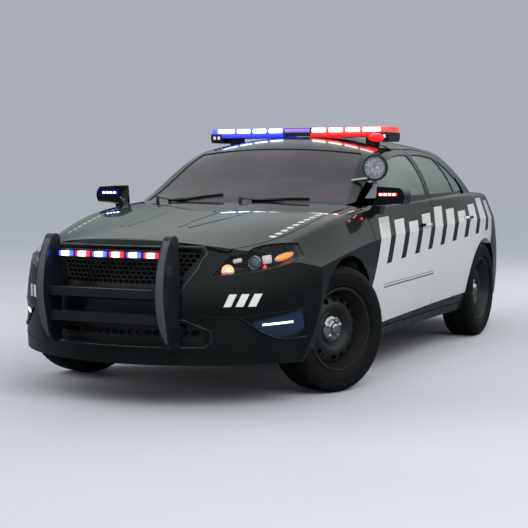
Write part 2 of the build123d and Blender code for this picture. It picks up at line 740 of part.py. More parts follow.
def knuckles():
    """Both knuckles, by node name."""
    return {
        "knuckle_left": knuckle().moved(knuckle_frame(1)),
        "knuckle_right": knuckle().moved(knuckle_frame(-1)),
    }


def front_suspension():
    """Control arms, dampers and the subframe that carries them."""
    x, y = FRONT_AXLE_X, KINGPIN_Y
    parts = [block(x - 60, x + 60, -470, 470, 190, 240)]
    for s in (1, -1):
        low = tube((x, s * y, AXLE_Z - 154.9), (x, s * 440, 215), 16)
        high = tube((x, s * y, AXLE_Z + 152.9), (x + 90, s * 490, 510), 14)
        damper = tube((x, s * 565, 215), (x, s * 565, 783.5), 30)
        parts += [low, high, damper, block(x - 60, x + 120, s * 455 - 15, s * 455 + 15, 200, 430 - SEAT)]
    return fuse(*parts)


def rear_suspension():
    """Rear axle beam, stub axles and springs."""
    x = REAR_AXLE_X
    parts = [block(x - 50, x + 50, -620, 620, 290, 350)]
    for s in (1, -1):
        parts.append(block(x - 45, x + 45, s * 620 - 40, s * 620 + 40, 290, 410))
        parts.append(tube((x, s * 600, AXLE_Z), (x, s * (HALF_TRACK + 15.7), AXLE_Z), 28))
        parts.append(tube((x, s * 470, 340), (x, s * 470, BOOT_FLOOR_Z - SEAT), 46))
    return fuse(*parts)


def steering_wheel():
    """Rim, spokes and hub of the steering wheel."""
    corners = [(STEER_R + 15 * cos(radians(a)), 15 * sin(radians(a))) for a in range(0, 360, 45)]
    ring = spun(*corners).moved(Location((0, 0, 0), (90, 0, 0)))
    hub = Solid.make_cylinder(55, 36).moved(Location((0, 0, -30)))
    spokes = [block(-STEER_R, STEER_R, -14, 14, -12, 6), block(-14, 14, -STEER_R, 0, -12, 6)]
    wheel = fuse(ring, hub, *spokes)
    return wheel.moved(STEER_PLACE)


STEER_R = 180.0            # middle of the rim
STEER_CENTRE = (610.0, 370.0, 880.0)
STEER_TILT = 66.0          # from upright, so that the rim leans away from the driver
STEER_PLACE = Location(STEER_CENTRE) * Location((0, 0, 0), (0, -STEER_TILT, 0)) * Location((0, 0, 0), (0, 0, -90))


def dashboard():
    """Dashboard, centre console and steering column."""
    dash = prism(side((690, 640), (690, 860), ((740, 960), (850, 965)), (985, 975), (BULKHEAD_X - SEAT, 960), (BULKHEAD_X - SEAT, 640)), -730, 730)
    console = block(120, 700, -98, 98, TUNNEL_TOP + FLOOR_T + SEAT, 560)
    column = Solid.make_cylinder(34, 150).moved(STEER_PLACE * Location((0, 0, -180.5)))
    return fuse(dash, console, column)


SEAT_Y = 370.0             # middle of a front seat


def seats():
    """Two front seats and the rear bench."""
    room = SEAT_Y - TUNNEL_HALF - FLOOR_T - 1
    cushion = prism(side((-120, 290), (430, 320), ((450, 380), (420, 440)), (-110, 398)), -240, 240)
    back = prism(side((-66, 402), (-110, 300), (-190, 320), (-300, 960), ((-262, 1010), (-200, 1000))), -room, room)
    head = prism(side((-235, 1030), (-215, 1180), (-300, 1190), (-325, 1040)), -130, 130)
    post = block(-290, -240, -60, 60, 960, 1100)
    base = block(-100, 400, -200, 200, FLOOR_Z + FLOOR_T + SEAT, 330)
    seat = fuse(cushion, back, head, post, base)
    row = [seat.moved(Location((60, s * SEAT_Y, 0))) for s in (1, -1)]
    low = FLOOR_Z + FLOOR_T + SEAT
    deck = BOOT_FLOOR_Z + FLOOR_T + SEAT
    bench = prism(side((HEEL_X + SEAT, low), (-520, low), (-500, 420), (-960, 400), (-1120, 1000), (-1200, 1000),
                       (-1060, deck), (HEEL_X + SEAT, deck)), -580, 580)
    bench = bench.cut(block(-1100, 0, -TUNNEL_HALF - FLOOR_T - SEAT, TUNNEL_HALF + FLOOR_T + SEAT, 0,
                            TUNNEL_TOP + FLOOR_T + SEAT))
    return Compound(row + [bench])


def engine():
    """Engine and gearbox as one plain block."""
    return block(1200, 1800, -330, 330, 240 + SEAT, 850)


def exhaust():
    """Pipe under the floor with its silencers."""
    pipe = tube((1150, 0, 225), (-1750, 0, 225), 28)
    front_box = block(-300, 150, -90, 90, 190, 260)
    rear_box = block(-2200, -1750, -380, 380, 200, 400)
    hanger = block(-2000, -1960, -40, 40, 390, BOOT_FLOOR_Z - SEAT)
    tails = [tube((-2200, s * 330, 300), (-2560, s * 330, 290), 34) for s in (1, -1)]
    return fuse(pipe, front_box, rear_box, hanger, *tails)


def fuel_tank():
    """Flat tank ahead of the rear axle."""
    return block(-1300, -1035, -520, 520, 300, BOOT_FLOOR_Z - SEAT)


# What is fitted to the outside

PUSH_X = 2642.0            # foremost face of the push bumper
PUSH_Y = 365.0             # middle of each upright
PUSH_LAMP_PITCH = 105.0
PUSH_LAMP_X = 2545.0
PUSH_LAMP_Z = 822.0


def push_bumper():
    """Two curved uprights, three cross bars and the arms that hold them to the car."""
    upright_line = side(
        (2470, 345),
        (2540, 335),
        ((PUSH_X, 620), (2556, 905)),
        ((2520, 925), (2480, 900)),
        (2462, 700),
    )
    uprights = [prism(upright_line, s * PUSH_Y - 24, s * PUSH_Y + 24) for s in (1, -1)]
    bars = [
        block(2510, 2600, -PUSH_Y, PUSH_Y, 599, 644),
        block(2524, 2590, -PUSH_Y, PUSH_Y, 465, 517),
        block(2512, 2532, -PUSH_Y, PUSH_Y, 800, 846),
    ]
    arms = [block(2330 + SEAT, 2500, s * PUSH_Y - 20, s * PUSH_Y + 20, 400, 450) for s in (1, -1)]
    return fuse(uprights[0], uprights[1], *bars, *arms)


def push_lamps(offset):
    """Every other lamp on the push bumper's top bar."""
    lamps = []
    for i in range(offset, 6, 2):
        y = (i - 2.5) * PUSH_LAMP_PITCH
        lamps.append(block(2532, PUSH_LAMP_X + 6, y - 38, y + 38, PUSH_LAMP_Z - 13, PUSH_LAMP_Z + 13))
    return Compound(lamps)


BAR_X = -75.0
BAR_Z = 1500.0             # underside of the tray at its ends
BAR_TRAY = 28.0
BAR_TOP_Z = 1567.0
BAR_HALF = 675.0
BAR_CLEAR = 6.0            # over the roof's crown


def bar_section(x_half, low, high):
    """Side-view section of the light bar."""
    return side((BAR_X - x_half, low), (BAR_X + x_half, low), (BAR_X + x_half, low + 14),
                ((BAR_X + x_half * 0.86, high - 6), (BAR_X + x_half * 0.6, high)),
                (BAR_X - x_half * 0.6, high),
                ((BAR_X - x_half * 0.86, high - 6), (BAR_X - x_half, low + 14)))


def light_bar():
    """Low roof light bar: a tray shaped over the roof, end caps, clear middle, blue and red ends."""
    top = BAR_Z + BAR_TRAY
    over_roof = upper_form(-BAR_CLEAR, -BAR_CLEAR)
    tray = block(BAR_X - 120, BAR_X + 120, -BAR_HALF, BAR_HALF, BAR_Z, top).cut(over_roof)
    middle = prism(bar_section(112, top, BAR_TOP_Z - 2), -105, 105)
    end = prism(side((BAR_X - 104, BAR_Z - 34), (BAR_X + 104, BAR_Z - 34), (BAR_X + 118, BAR_Z - 10),
                     (BAR_X + 118, top), (BAR_X - 118, top), (BAR_X - 118, BAR_Z - 10)), BAR_HALF - 90, BAR_HALF)
    feet = [block(BAR_X - 60, BAR_X + 60, s * 520 - 30, s * 520 + 30, 1425, top - 4).cut(OUTER_TOP) for s in (1, -1)]
    base = fuse(biggest(tray), middle, *both(end), *[biggest(foot) for foot in feet])
    red = prism(bar_section(116, top + SEAT, BAR_TOP_Z), 106, BAR_HALF - 6)
    return {
        "lightbar_base": biggest(base),
        "lightbar_red": red,
        "lightbar_blue": red.mirror(Plane.XZ),
    }


def spotlight():
    """Round lamp on the left pillar, with its bracket."""
    centre = (669, 812, 1285)
    bowl = spun((0, -78), (34, -78), (58, -56), (74, -26), (80, 0), (80, 20), (73, 20), (71, 2), (52, -38), (0, -60))
    housing = bowl.moved(Location(centre, (0, 0, -90)))
    stem = tube((centre[0] - 8, centre[1] - 20, 1218), (centre[0] - 8, 650, 1201), 11)
    return fuse(housing, stem).cut(OUTER_TOP)


def mirror():
    """Left door mirror with its foot on the door."""
    head = prism(front((905, 1046), (1075, 1060), ((1090, 1110), (1060, 1160)), (915, 1168)), 800, 930)
    foot = prism(front((860, 1010), (930, 1000), (950, 1080), (905, 1090)), 850, 930)
    return fuse(head, foot).cut(OUTER, OUTER_TOP)


WIPERS = [                 # pivot, then the arm's tip
    ((1070, 60), (955, 480, 1092)),
    ((1025, -560), (975, -110, 1118)),
]


def wipers():
    """Two wiper arms with their blades, lying on the foot of the windscreen."""
    arms = []
    for (x, y), tip in WIPERS:
        arm = fuse(tube((x, y, 1090), tip, 8), tube((x, y, 1040), (x, y, 1092), 11))
        arms.append(biggest(arm.cut(OUTER, OUTER_TOP)))
    return Compound(arms)


def build():
    """Every node of the car, by name."""
    glass = glass_blank()
    parts = {
        "body_shell": body_shell(),
        "fixed_glass": fixed_glass(glass),
        "floor_pan": floor_pan(),
        "wheel_wells": wheel_wells(),
        "front_frame": front_frame(),
        "grilles": grilles(),
        "front_suspension": front_suspension(),
        "rear_suspension": rear_suspension(),
        "steering_wheel": steering_wheel(),
        "dashboard": dashboard(),
        "seats": seats(),
        "engine": engine(),
        "exhaust": exhaust(),
        "fuel_tank": fuel_tank(),
        "push_bumper": push_bumper(),
        "push_lamps_blue": push_lamps(0),
        "push_lamps_red": push_lamps(1),
        "spotlight": spotlight(),
        "mirror_left": mirror(),
        "mirror_right": mirror().mirror(Plane.XZ),
        "wipers": wipers(),
    }
    parts.update(doors(door_blank(), glass))
    parts.update(front_panels())
    parts.update(headlamps())
    parts.update(rear_panels())
    parts.update(wheels())
    parts.update(knuckles())
    parts.update(light_bar())
    return parts


os.makedirs("parts", exist_ok=True)
for node, shape in build().items():
    export_step(shape, os.path.join("parts", node + ".step"))
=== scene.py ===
"""Looks of a police patrol saloon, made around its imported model: paint and stripes, glass, lamps and wheels.

Metres. +X is the front of the car, +Y its left side and +Z up, with the origin on the ground.
"""
import json
import math

import bmesh
import bpy
from mathutils import Matrix, Vector
from mathutils.bvhtree import BVHTree


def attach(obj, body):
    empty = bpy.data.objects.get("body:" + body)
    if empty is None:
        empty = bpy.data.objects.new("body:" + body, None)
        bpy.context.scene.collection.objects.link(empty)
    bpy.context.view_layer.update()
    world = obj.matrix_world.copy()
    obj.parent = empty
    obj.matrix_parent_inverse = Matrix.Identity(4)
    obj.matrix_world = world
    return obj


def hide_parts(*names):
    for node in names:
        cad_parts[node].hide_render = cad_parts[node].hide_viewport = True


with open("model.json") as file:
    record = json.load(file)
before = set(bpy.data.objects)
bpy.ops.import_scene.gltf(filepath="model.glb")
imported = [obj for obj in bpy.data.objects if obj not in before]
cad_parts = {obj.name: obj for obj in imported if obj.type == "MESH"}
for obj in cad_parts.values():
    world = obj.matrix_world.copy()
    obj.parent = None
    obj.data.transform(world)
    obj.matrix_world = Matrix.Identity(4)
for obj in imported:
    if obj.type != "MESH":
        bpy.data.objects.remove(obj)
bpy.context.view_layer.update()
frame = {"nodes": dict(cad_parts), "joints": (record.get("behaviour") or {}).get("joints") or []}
NODES = frame["nodes"]
JOINTS = {joint["name"]: joint for joint in frame["joints"]}
SIDES = {"left": 1, "right": -1}
HUES = {"left": "red", "right": "blue"}      # colour of the lamps on each side
DOWN = (0, 0, -1)
BACKWARD = (-1, 0, 0)

# The photograph's view
CAMERA_PLACE = (8.299, 3.581, 1.245)
CAMERA_YAW = 205.69
CAMERA_PITCH = -4.05
CAMERA_LENS = 87.3
CAMERA_SHIFT = (0.033, 0.001)

# The livery, in side view
SLANT = 0.60               # how far a bar leans back, for each metre of height
SLANT_Z = 0.70             # height at which leaning is measured from
WHITE_FRONT = 1.02         # front edge of the white field, at that height
WHITE_REAR = -1.56
FIELD_TOP = (0.737, -0.052)      # height at x = 0 and its change for each metre forward
FIELD_LOW = (0.343, -0.022)
BAR_TOP = (1.006, -0.036)
BAR_PITCH = 0.270
BAR_SHARE = 0.66           # white part of the pitch
BAR_STEP = 0.030           # bars differ in height by this much
PINSTRIPES = ((0.563, 0.0045), (0.581, 0.0022))  # height at x = 0 and half width
PINSTRIPE_SLOPE = -0.016
PINSTRIPE_ENDS = (-0.16, 0.87)

# The marks on the bumper's corners and on the bonnet
CORNER_BARS = 3
CORNER_BAR_Y = 0.588         # inner edge of the first
CORNER_BAR_PITCH = 0.053
CORNER_BAR_SHARE = 0.62
CORNER_BAR_Z = (0.548, 0.614)
CORNER_BAR_LEAN = 0.35
CORNER_LEAN_Z = 0.58
DASH_LINE = (0.862, -0.105)      # y at x = 0 and its change for each metre forward
DASH_ENDS = (1.30, 1.92)
DASH_HALF = 0.014
DASH_PITCH = 0.060
DASH_SHARE = 0.55
DASH_LEAN = 0.6

BLACK = (0.0024, 0.0036, 0.0038)
WHITE = (0.74, 0.76, 0.72)
STRIPE_GREY = (0.10, 0.11, 0.12)
TRIM = (0.030, 0.031, 0.034)
DUST = (0.16, 0.145, 0.125)
DUST_SHARE = 0.025
DUST_HEIGHTS = (0.22, 0.62)      # full below the first, none above the second

# The stage
SKY = (0.62, 0.65, 0.71)
BACKDROP = (0.400, 0.425, 0.480)     # what the floor comes to, far off under that sky
MIRRORED_SKY = ((0.10, 0.115, 0.13), (0.56, 0.63, 0.61))   # what polished surfaces see, low and high
MIRRORED_RISE = (0.06, 0.42)
FLOOR_HALF = 60.0
FLOOR = ((0.63, 0.64, 0.66), (0.66, 0.67, 0.69))
FLOOR_MIRRORED = (0.070, 0.085, 0.095)
LAMP_SIZE = 5.0
LAMP_AIM = (0, 0, 0.6)
LAMPS = (
    ("key", (5.5, 5.5, 6.0), 330.0),
    ("fill", (3.0, -7.0, 5.0), 200.0),
    ("back", (-7.0, 3.0, 5.0), 200.0),
)


# Node materials

class Graph:
    """Short calls that add nodes to a shader tree."""

    def __init__(self, tree):
        self.nodes = tree.nodes
        self.links = tree.links
        self.coordinates = self.nodes.new("ShaderNodeTexCoord").outputs
        self.place = self.coordinates["Object"]

    def feed(self, target, value):
        """Sets an input to a number, a colour or another node's output."""
        if isinstance(value, bpy.types.NodeSocket):
            self.links.new(value, target)
        elif isinstance(value, tuple) and len(value) == 3 and target.type == "RGBA":
            target.default_value = (*value, 1.0)
        else:
            target.default_value = value

    def axes(self, vector=None):
        """The three numbers of a vector, by default the place on the object."""
        node = self.nodes.new("ShaderNodeSeparateXYZ")
        self.feed(node.inputs[0], vector or self.place)
        return node.outputs[0], node.outputs[1], node.outputs[2]

    def math(self, operation, *values):
        """One arithmetic step."""
        node = self.nodes.new("ShaderNodeMath")
        node.operation = operation
        for socket, value in zip(node.inputs, values):
            self.feed(socket, value)
        return node.outputs[0]

    def all_of(self, *conditions):
        """1 where every condition is 1."""
        result = conditions[0]
        for condition in conditions[1:]:
            result = self.math("MULTIPLY", result, condition)
        return result

    def inside(self, value, low, high):
        """1 where a value lies between two others."""
        return self.all_of(self.math("GREATER_THAN", value, low), self.math("LESS_THAN", value, high))

    def line(self, values, along):
        """A straight line: its value at 0, and its change for each metre along."""
        return self.math("MULTIPLY_ADD", along, values[1], values[0])

    def span(self, value, low, high, smooth=True):
        """0 below low, 1 above high, and a slope between them."""
        node = self.nodes.new("ShaderNodeMapRange")
        node.interpolation_type = "SMOOTHSTEP" if smooth else "LINEAR"
        for index, entry in enumerate((value, low, high, 0.0, 1.0)):
            self.feed(node.inputs[index], entry)
        return node.outputs[0]

    def mix(self, factor, first, second):
        """A colour between two."""
        node = self.nodes.new("ShaderNodeMix")
        node.data_type = "RGBA"
        for index, value in ((0, factor), (6, first), (7, second)):
            self.feed(node.inputs[index], value)
        return node.outputs[2]

    def noise(self, scale, detail, stretch=None):
        """Cloudy noise from 0 to 1, with scale in lumps for each metre."""
        where = self.place
        if stretch:
            mapping = self.nodes.new("ShaderNodeMapping")
            self.feed(mapping.inputs["Vector"], self.place)
            mapping.inputs["Scale"].default_value = stretch
            where = mapping.outputs[0]
        node = self.nodes.new("ShaderNodeTexNoise")
        self.feed(node.inputs["Vector"], where)
        node.inputs["Scale"].default_value = scale
        node.inputs["Detail"].default_value = detail
        return node.outputs[0]

    def cells(self, scale):
        """Distance to the nearest of scattered points."""
        node = self.nodes.new("ShaderNodeTexVoronoi")
        self.feed(node.inputs["Vector"], self.place)
        node.inputs["Scale"].default_value = scale
        return node.outputs["Distance"]


class Finish(Graph):
    """A procedural material with one main shader."""

    def __init__(self, name, color, roughness, metallic=0.0, **sockets):
        self.material = bpy.data.materials.new(name)
        self.material.use_nodes = True
        super().__init__(self.material.node_tree)
        self.shader = self.nodes["Principled BSDF"]
        self.put("Base Color", color)
        self.put("Roughness", roughness)
        self.put("Metallic", metallic)
        for socket, value in sockets.items():
            self.put(socket.replace("_", " "), value)

    def put(self, socket, value):
        """Sets an input of the main shader."""
        self.feed(self.shader.inputs[socket], value)

    def shade(self, factor, first, second):
        """Sets the base colour to a mix."""
        self.put("Base Color", self.mix(factor, first, second))

    def polish(self, factor, change, base):
        """Sets the roughness to a base value and a change that follows the factor."""
        self.put("Roughness", self.math("MULTIPLY_ADD", factor, change, base))

    def emboss(self, height, strength, distance):
        """Sets the normal to follow a height."""
        node = self.nodes.new("ShaderNodeBump")
        node.inputs["Strength"].default_value = strength
        node.inputs["Distance"].default_value = distance
        self.feed(node.inputs["Height"], height)
        self.put("Normal", node.outputs[0])


def changed(color, factor, lift=0.0):
    """A colour made brighter or darker."""
    return tuple(min(1.0, part * factor + lift) for part in color)


def road_dust(finish):
    """Share of road dust: most on the sills, none above the doors' middle."""
    fall = finish.math("SUBTRACT", 1.0, finish.span(finish.axes()[2], *DUST_HEIGHTS))
    return finish.math("MULTIPLY", fall, finish.span(finish.noise(7.0, 6.0), 0.30, 0.75))


def outward(finish):
    """1 on faces that look away from the car's middle plane, 0 on inner faces."""
    y = finish.axes()[1]
    normal_y = finish.axes(finish.coordinates["Normal"])[1]
    return finish.math("GREATER_THAN", finish.math("MULTIPLY", finish.math("SIGN", y), normal_y), -0.10)


def livery(finish):
    """1 on the white field and its slanted bars, 0 on the black."""
    x, _, z = finish.axes()
    slid = finish.math("ADD", x, finish.math("MULTIPLY", finish.math("SUBTRACT", z, SLANT_Z), SLANT))
    within = finish.all_of(
        finish.inside(slid, WHITE_REAR, WHITE_FRONT),
        finish.math("GREATER_THAN", z, finish.line(FIELD_LOW, x)),
    )
    field = finish.math("LESS_THAN", z, finish.line(FIELD_TOP, x))
    count = finish.math("DIVIDE", finish.math("SUBTRACT", WHITE_FRONT, slid), BAR_PITCH)
    bar = finish.math("LESS_THAN", finish.math("FRACT", count), BAR_SHARE)
    rank = finish.math("PINGPONG", finish.math("FLOOR", count), 2.0)
    top = finish.math("SUBTRACT", finish.line(BAR_TOP, x), finish.math("MULTIPLY", rank, BAR_STEP))
    bars = finish.math("MULTIPLY", bar, finish.math("LESS_THAN", z, top))
    return finish.math("MULTIPLY", within, finish.math("MAXIMUM", field, bars))


def pinstripes(finish):
    """1 on the two thin lines low on the doors."""
    x, _, z = finish.axes()
    level = finish.math("SUBTRACT", z, finish.math("MULTIPLY", x, PINSTRIPE_SLOPE))
    lines = [
        finish.math("LESS_THAN", finish.math("ABSOLUTE", finish.math("SUBTRACT", level, height)), half)
        for height, half in PINSTRIPES
    ]
    return finish.all_of(finish.math("MAXIMUM", *lines), finish.inside(x, *PINSTRIPE_ENDS))


def corner_bars(finish):
    """Three plain slanted bars on each corner of the bumper."""
    _, y, z = finish.axes()
    lean = finish.math("MULTIPLY", finish.math("SUBTRACT", z, CORNER_LEAN_Z), CORNER_BAR_LEAN)
    slid = finish.math("SUBTRACT", finish.math("ABSOLUTE", y), lean)
    count = finish.math("DIVIDE", finish.math("SUBTRACT", slid, CORNER_BAR_Y), CORNER_BAR_PITCH)
    return finish.all_of(
        finish.math("LESS_THAN", finish.math("FRACT", count), CORNER_BAR_SHARE),
        finish.inside(count, 0.0, CORNER_BARS),
        finish.inside(z, *CORNER_BAR_Z),
    )


def bonnet_dashes(finish):
    """A row of short slanted dashes along each side of the bonnet."""
    x, y, _ = finish.axes()
    across = finish.math("ABSOLUTE", y)
    off = finish.math("ABSOLUTE", finish.math("SUBTRACT", across, finish.line(DASH_LINE, x)))
    slid = finish.math("ADD", x, finish.math("MULTIPLY", across, DASH_LEAN))
    return finish.all_of(
        finish.math("LESS_THAN", off, DASH_HALF),
        finish.math("LESS_THAN", finish.math("FRACT", finish.math("DIVIDE", slid, DASH_PITCH)), DASH_SHARE),
        finish.inside(x, *DASH_ENDS),
    )


def paint(name, marks=None, on_side=False, trim_inside=False):
    """Glossy paint under a clear coat, with fine orange peel, road dust and the stripes that cross it."""
    finish = Finish(name, BLACK, 0.32, Coat_Weight=1.0, Coat_Roughness=0.02, Coat_IOR=1.36,
                    Specular_IOR_Level=0.18)
    color = BLACK
    if on_side:
        color = finish.mix(finish.math("MULTIPLY", livery(finish), outward(finish)), color, WHITE)
        color = finish.mix(finish.math("MULTIPLY", pinstripes(finish), outward(finish)), color, STRIPE_GREY)
    if marks:
        color = finish.mix(marks(finish), color, WHITE)
    dust = road_dust(finish)
    color = finish.mix(finish.math("MULTIPLY", dust, DUST_SHARE), color, DUST)
    if trim_inside:
        color = finish.mix(finish.math("SUBTRACT", 1.0, outward(finish)), color, TRIM)
    finish.put("Base Color", color)
    finish.polish(dust, 0.22, 0.30)
    finish.emboss(finish.noise(320.0, 2.0), 0.045, 0.0008)
    return finish.material


def glass(name, color, alpha, shine=1.0):
    """Tinted safety glass, with faint wipe marks."""
    finish = Finish(name, color, 0.02, Coat_Weight=shine, Coat_Roughness=0.01, Alpha=alpha)
    finish.put("Specular IOR Level", 0.5 * shine)
    smear = finish.span(finish.noise(3.0, 5.0, (1.0, 1.0, 3.0)), 0.45, 0.75)
    finish.polish(smear, 0.10, 0.02)
    finish.shade(smear, color, changed(color, 1.35, 0.01))
    return finish.material


def moulded_plastic(name, color, roughness=0.55):
    """Grained moulded plastic, rubbed smoother in patches."""
    finish = Finish(name, color, roughness)
    worn = finish.span(finish.noise(9.0, 4.0), 0.35, 0.75)
    finish.polish(worn, 0.16, roughness - 0.08)
    finish.shade(finish.math("MULTIPLY", worn, 0.5), color, changed(color, 1.5, 0.004))
    finish.emboss(finish.cells(900.0), 0.16, 0.0006)
    return finish.material


def coated_steel(name, color, roughness=0.34):
    """Powder-coated steel with a slight texture and paler rubbed patches."""
    finish = Finish(name, color, roughness, Coat_Weight=0.35, Coat_Roughness=0.18)
    rubbed = finish.span(finish.noise(14.0, 6.0), 0.52, 0.80)
    finish.shade(finish.math("MULTIPLY", rubbed, 0.25), color, changed(color, 2.2, 0.006))
    finish.polish(rubbed, 0.15, roughness)
    finish.emboss(finish.noise(420.0, 3.0), 0.10, 0.0006)
    return finish.material


def bare_metal(name, color, roughness, lumps=160.0, strength=0.15):
    """Cast or rolled bare metal with stains."""
    finish = Finish(name, color, roughness, metallic=1.0)
    stain = finish.span(finish.noise(12.0, 6.0), 0.35, 0.75)
    finish.shade(stain, color, changed(color, 0.45))
    finish.polish(stain, 0.25, roughness)
    finish.emboss(finish.noise(lumps, 4.0), strength, 0.001)
    return finish.material


def chrome(name):
    """Bright plating with fine wipe scratches."""
    finish = Finish(name, (0.78, 0.79, 0.80), 0.06, metallic=1.0)
    scratches = finish.span(finish.noise(90.0, 4.0, (1.0, 1.0, 14.0)), 0.50, 0.75)
    finish.polish(scratches, 0.10, 0.05)
    return finish.material


def rubber(name):
    """Tyre rubber, greyer where it has scuffed."""
    black = (0.004, 0.0045, 0.0045)
    finish = Finish(name, black, 0.62, Specular_IOR_Level=0.30)
    scuffs = finish.span(finish.noise(26.0, 6.0), 0.42, 0.78)
    finish.shade(finish.math("MULTIPLY", scuffs, 0.5), black, (0.016, 0.0155, 0.0145))
    finish.polish(scuffs, 0.20, 0.55)
    finish.emboss(finish.noise(700.0, 2.0), 0.18, 0.0005)
    return finish.material


def underseal(name):
    """Sprayed underbody coating with splashed dirt."""
    finish = Finish(name, (0.020, 0.020, 0.021), 0.75)
    dirt = finish.span(finish.noise(10.0, 7.0), 0.42, 0.72)
    finish.shade(dirt, (0.014, 0.014, 0.015), (0.050, 0.045, 0.038))
    finish.emboss(finish.noise(230.0, 5.0), 0.35, 0.0015)
    return finish.material


def woven_cloth(name, color):
    """Seat cloth with a plain weave and slight shade changes."""
    finish = Finish(name, color, 0.85, Sheen_Weight=0.35, Sheen_Roughness=0.5)
    threads = [finish.math("SINE", finish.math("MULTIPLY", axis, 2600.0)) for axis in finish.axes()]
    weave = finish.math("MAXIMUM", finish.math("MAXIMUM", threads[0], threads[1]), threads[2])
    finish.shade(finish.span(finish.noise(18.0, 5.0), 0.30, 0.75), color, changed(color, 1.6, 0.004))
    finish.emboss(weave, 0.30, 0.0004)
    return finish.material


def lamp_lens(name, color, alpha, roughness=0.06):
    """Clear or coloured lens with moulded ribs."""
    finish = Finish(name, color, roughness, Coat_Weight=1.0, Coat_Roughness=0.02, Alpha=alpha)
    finish.emboss(finish.math("SINE", finish.math("MULTIPLY", finish.axes()[1], 900.0)), 0.10, 0.0006)
    return finish.material


def lit(name, color, strength):
    """A lit face in one colour, a little dimmer in spots as moulded optics are."""
    finish = Finish(name, color, 0.25, Coat_Weight=0.6, Coat_Roughness=0.05)
    spots = finish.span(finish.cells(160.0), 0.0, 0.8)
    finish.put("Emission Color", finish.mix(spots, color, changed(color, 0.65)))
    finish.put("Emission Strength", strength)
    return finish.material


def glowing(name, color, core, strength, pitch=None, half=None, offset=0.0):
    """A lit lamp face: a hot middle, repeated along Y if a pitch is given, that fades to its colour."""
    finish = Finish(name, color, 0.25, Coat_Weight=1.0, Coat_Roughness=0.05)
    if pitch:
        off = finish.math("PINGPONG", finish.math("SUBTRACT", finish.axes()[1], offset), pitch)
        cool = finish.span(off, half * 0.35, half)
    else:
        cool = finish.span(finish.cells(140.0), 0.0, 0.9)
    finish.put("Emission Color", finish.mix(finish.math("SUBTRACT", 1.0, cool), color, core))
    finish.put("Emission Strength", strength)
    return finish.material


# The stage

def make_world():
    """Soft even light, with a plain backdrop for the camera and a graded sky for reflections."""
    world = bpy.data.worlds.new("studio")
    bpy.context.scene.world = world
    world.use_nodes = True
    graph = Graph(world.node_tree)
    rays = graph.nodes.new("ShaderNodeLightPath").outputs
    height = graph.axes(graph.coordinates["Generated"])[2]
    mirrored = graph.mix(graph.span(height, *MIRRORED_RISE, smooth=False), *MIRRORED_SKY)
    polished = graph.math("MAXIMUM", rays["Is Glossy Ray"], rays["Is Transmission Ray"])
    light = graph.mix(rays["Is Camera Ray"], graph.mix(polished, SKY, mirrored), BACKDROP)
    background = graph.nodes["Background"]
    graph.feed(background.inputs["Color"], light)
    background.inputs["Strength"].default_value = 1.0


def make_floor():
    """Wide pale floor with a faint mottle, darker to reflections."""
    mesh = bpy.data.meshes.new("floor")
    corners = [(-1, -1), (1, -1), (1, 1), (-1, 1)]
    mesh.from_pydata([(x * FLOOR_HALF, y * FLOOR_HALF, 0) for x, y in corners], [], [(0, 1, 2, 3)])
    floor = bpy.data.objects.new("floor", mesh)
    bpy.context.scene.collection.objects.link(floor)
    finish = Finish("floor_paint", FLOOR[0], 0.60, Specular_IOR_Level=0.25)
    pale = finish.mix(finish.span(finish.noise(0.8, 5.0), 0.25, 0.8), *FLOOR)
    rays = finish.nodes.new("ShaderNodeLightPath").outputs
    finish.shade(rays["Is Glossy Ray"], pale, FLOOR_MIRRORED)
    mesh.materials.append(finish.material)


def make_lights():
    """Three large soft lamps: ahead of the car, on its far side and behind it."""
    for name, place, power in LAMPS:
        data = bpy.data.lights.new(name, "AREA")
        data.size = LAMP_SIZE
        data.energy = power
        lamp = bpy.data.objects.new(name, data)
        lamp.location = place
        lamp.rotation_mode = "QUATERNION"
        lamp.rotation_quaternion = (Vector(place) - Vector(LAMP_AIM)).to_track_quat("Z", "Y")
        lamp.visible_glossy = False
        bpy.context.scene.collection.objects.link(lamp)


def make_camera():
    """The camera at the photograph's place."""
    data = bpy.data.cameras.new("photo_view")
    data.lens = CAMERA_LENS
    data.shift_x, data.shift_y = CAMERA_SHIFT
    camera = bpy.data.objects.new("photo_view", data)
    camera.location = CAMERA_PLACE
    yaw, pitch = math.radians(CAMERA_YAW), math.radians(CAMERA_PITCH)
    look = Vector((math.cos(yaw) * math.cos(pitch), math.sin(yaw) * math.cos(pitch), math.sin(pitch)))
    camera.rotation_mode = "QUATERNION"
    camera.rotation_quaternion = look.to_track_quat("-Z", "Y")
    bpy.context.scene.collection.objects.link(camera)
    bpy.context.scene.camera = camera


# Mesh helpers

def piece(name, vertices, faces, finish, body="body", slot=None, smooth=True):
    """A new mesh piece in a finish, that rides on a body."""
    mesh = bpy.data.meshes.new(name)
    mesh.from_pydata([tuple(v) for v in vertices], [], faces)
    mesh.validate()
    for polygon in mesh.polygons:
        polygon.use_smooth = smooth
    mesh.materials.append(FINISHES[finish])
    made = bpy.data.objects.new(name, mesh)
    bpy.context.scene.collection.objects.link(made)
    slot = slot or SLOT_OF[finish]
    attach(made, body)
    return made


def spun(profile, steps, closed=True):
    """Vertices and faces of a ring about local Y, from (radius, y) points."""
    vertices, faces = [], []
    count = len(profile)
    for i in range(steps):
        angle = 2 * math.pi * i / steps
        for r, y in profile:
            vertices.append(Vector((r * math.cos(angle), y, r * math.sin(angle))))
    spans = count if closed else count - 1
    for i in range(steps):
        j = (i + 1) % steps
        for k in range(spans):
            n = (k + 1) % count
            faces.append((i * count + k, i * count + n, j * count + n, j * count + k))
    return vertices, faces


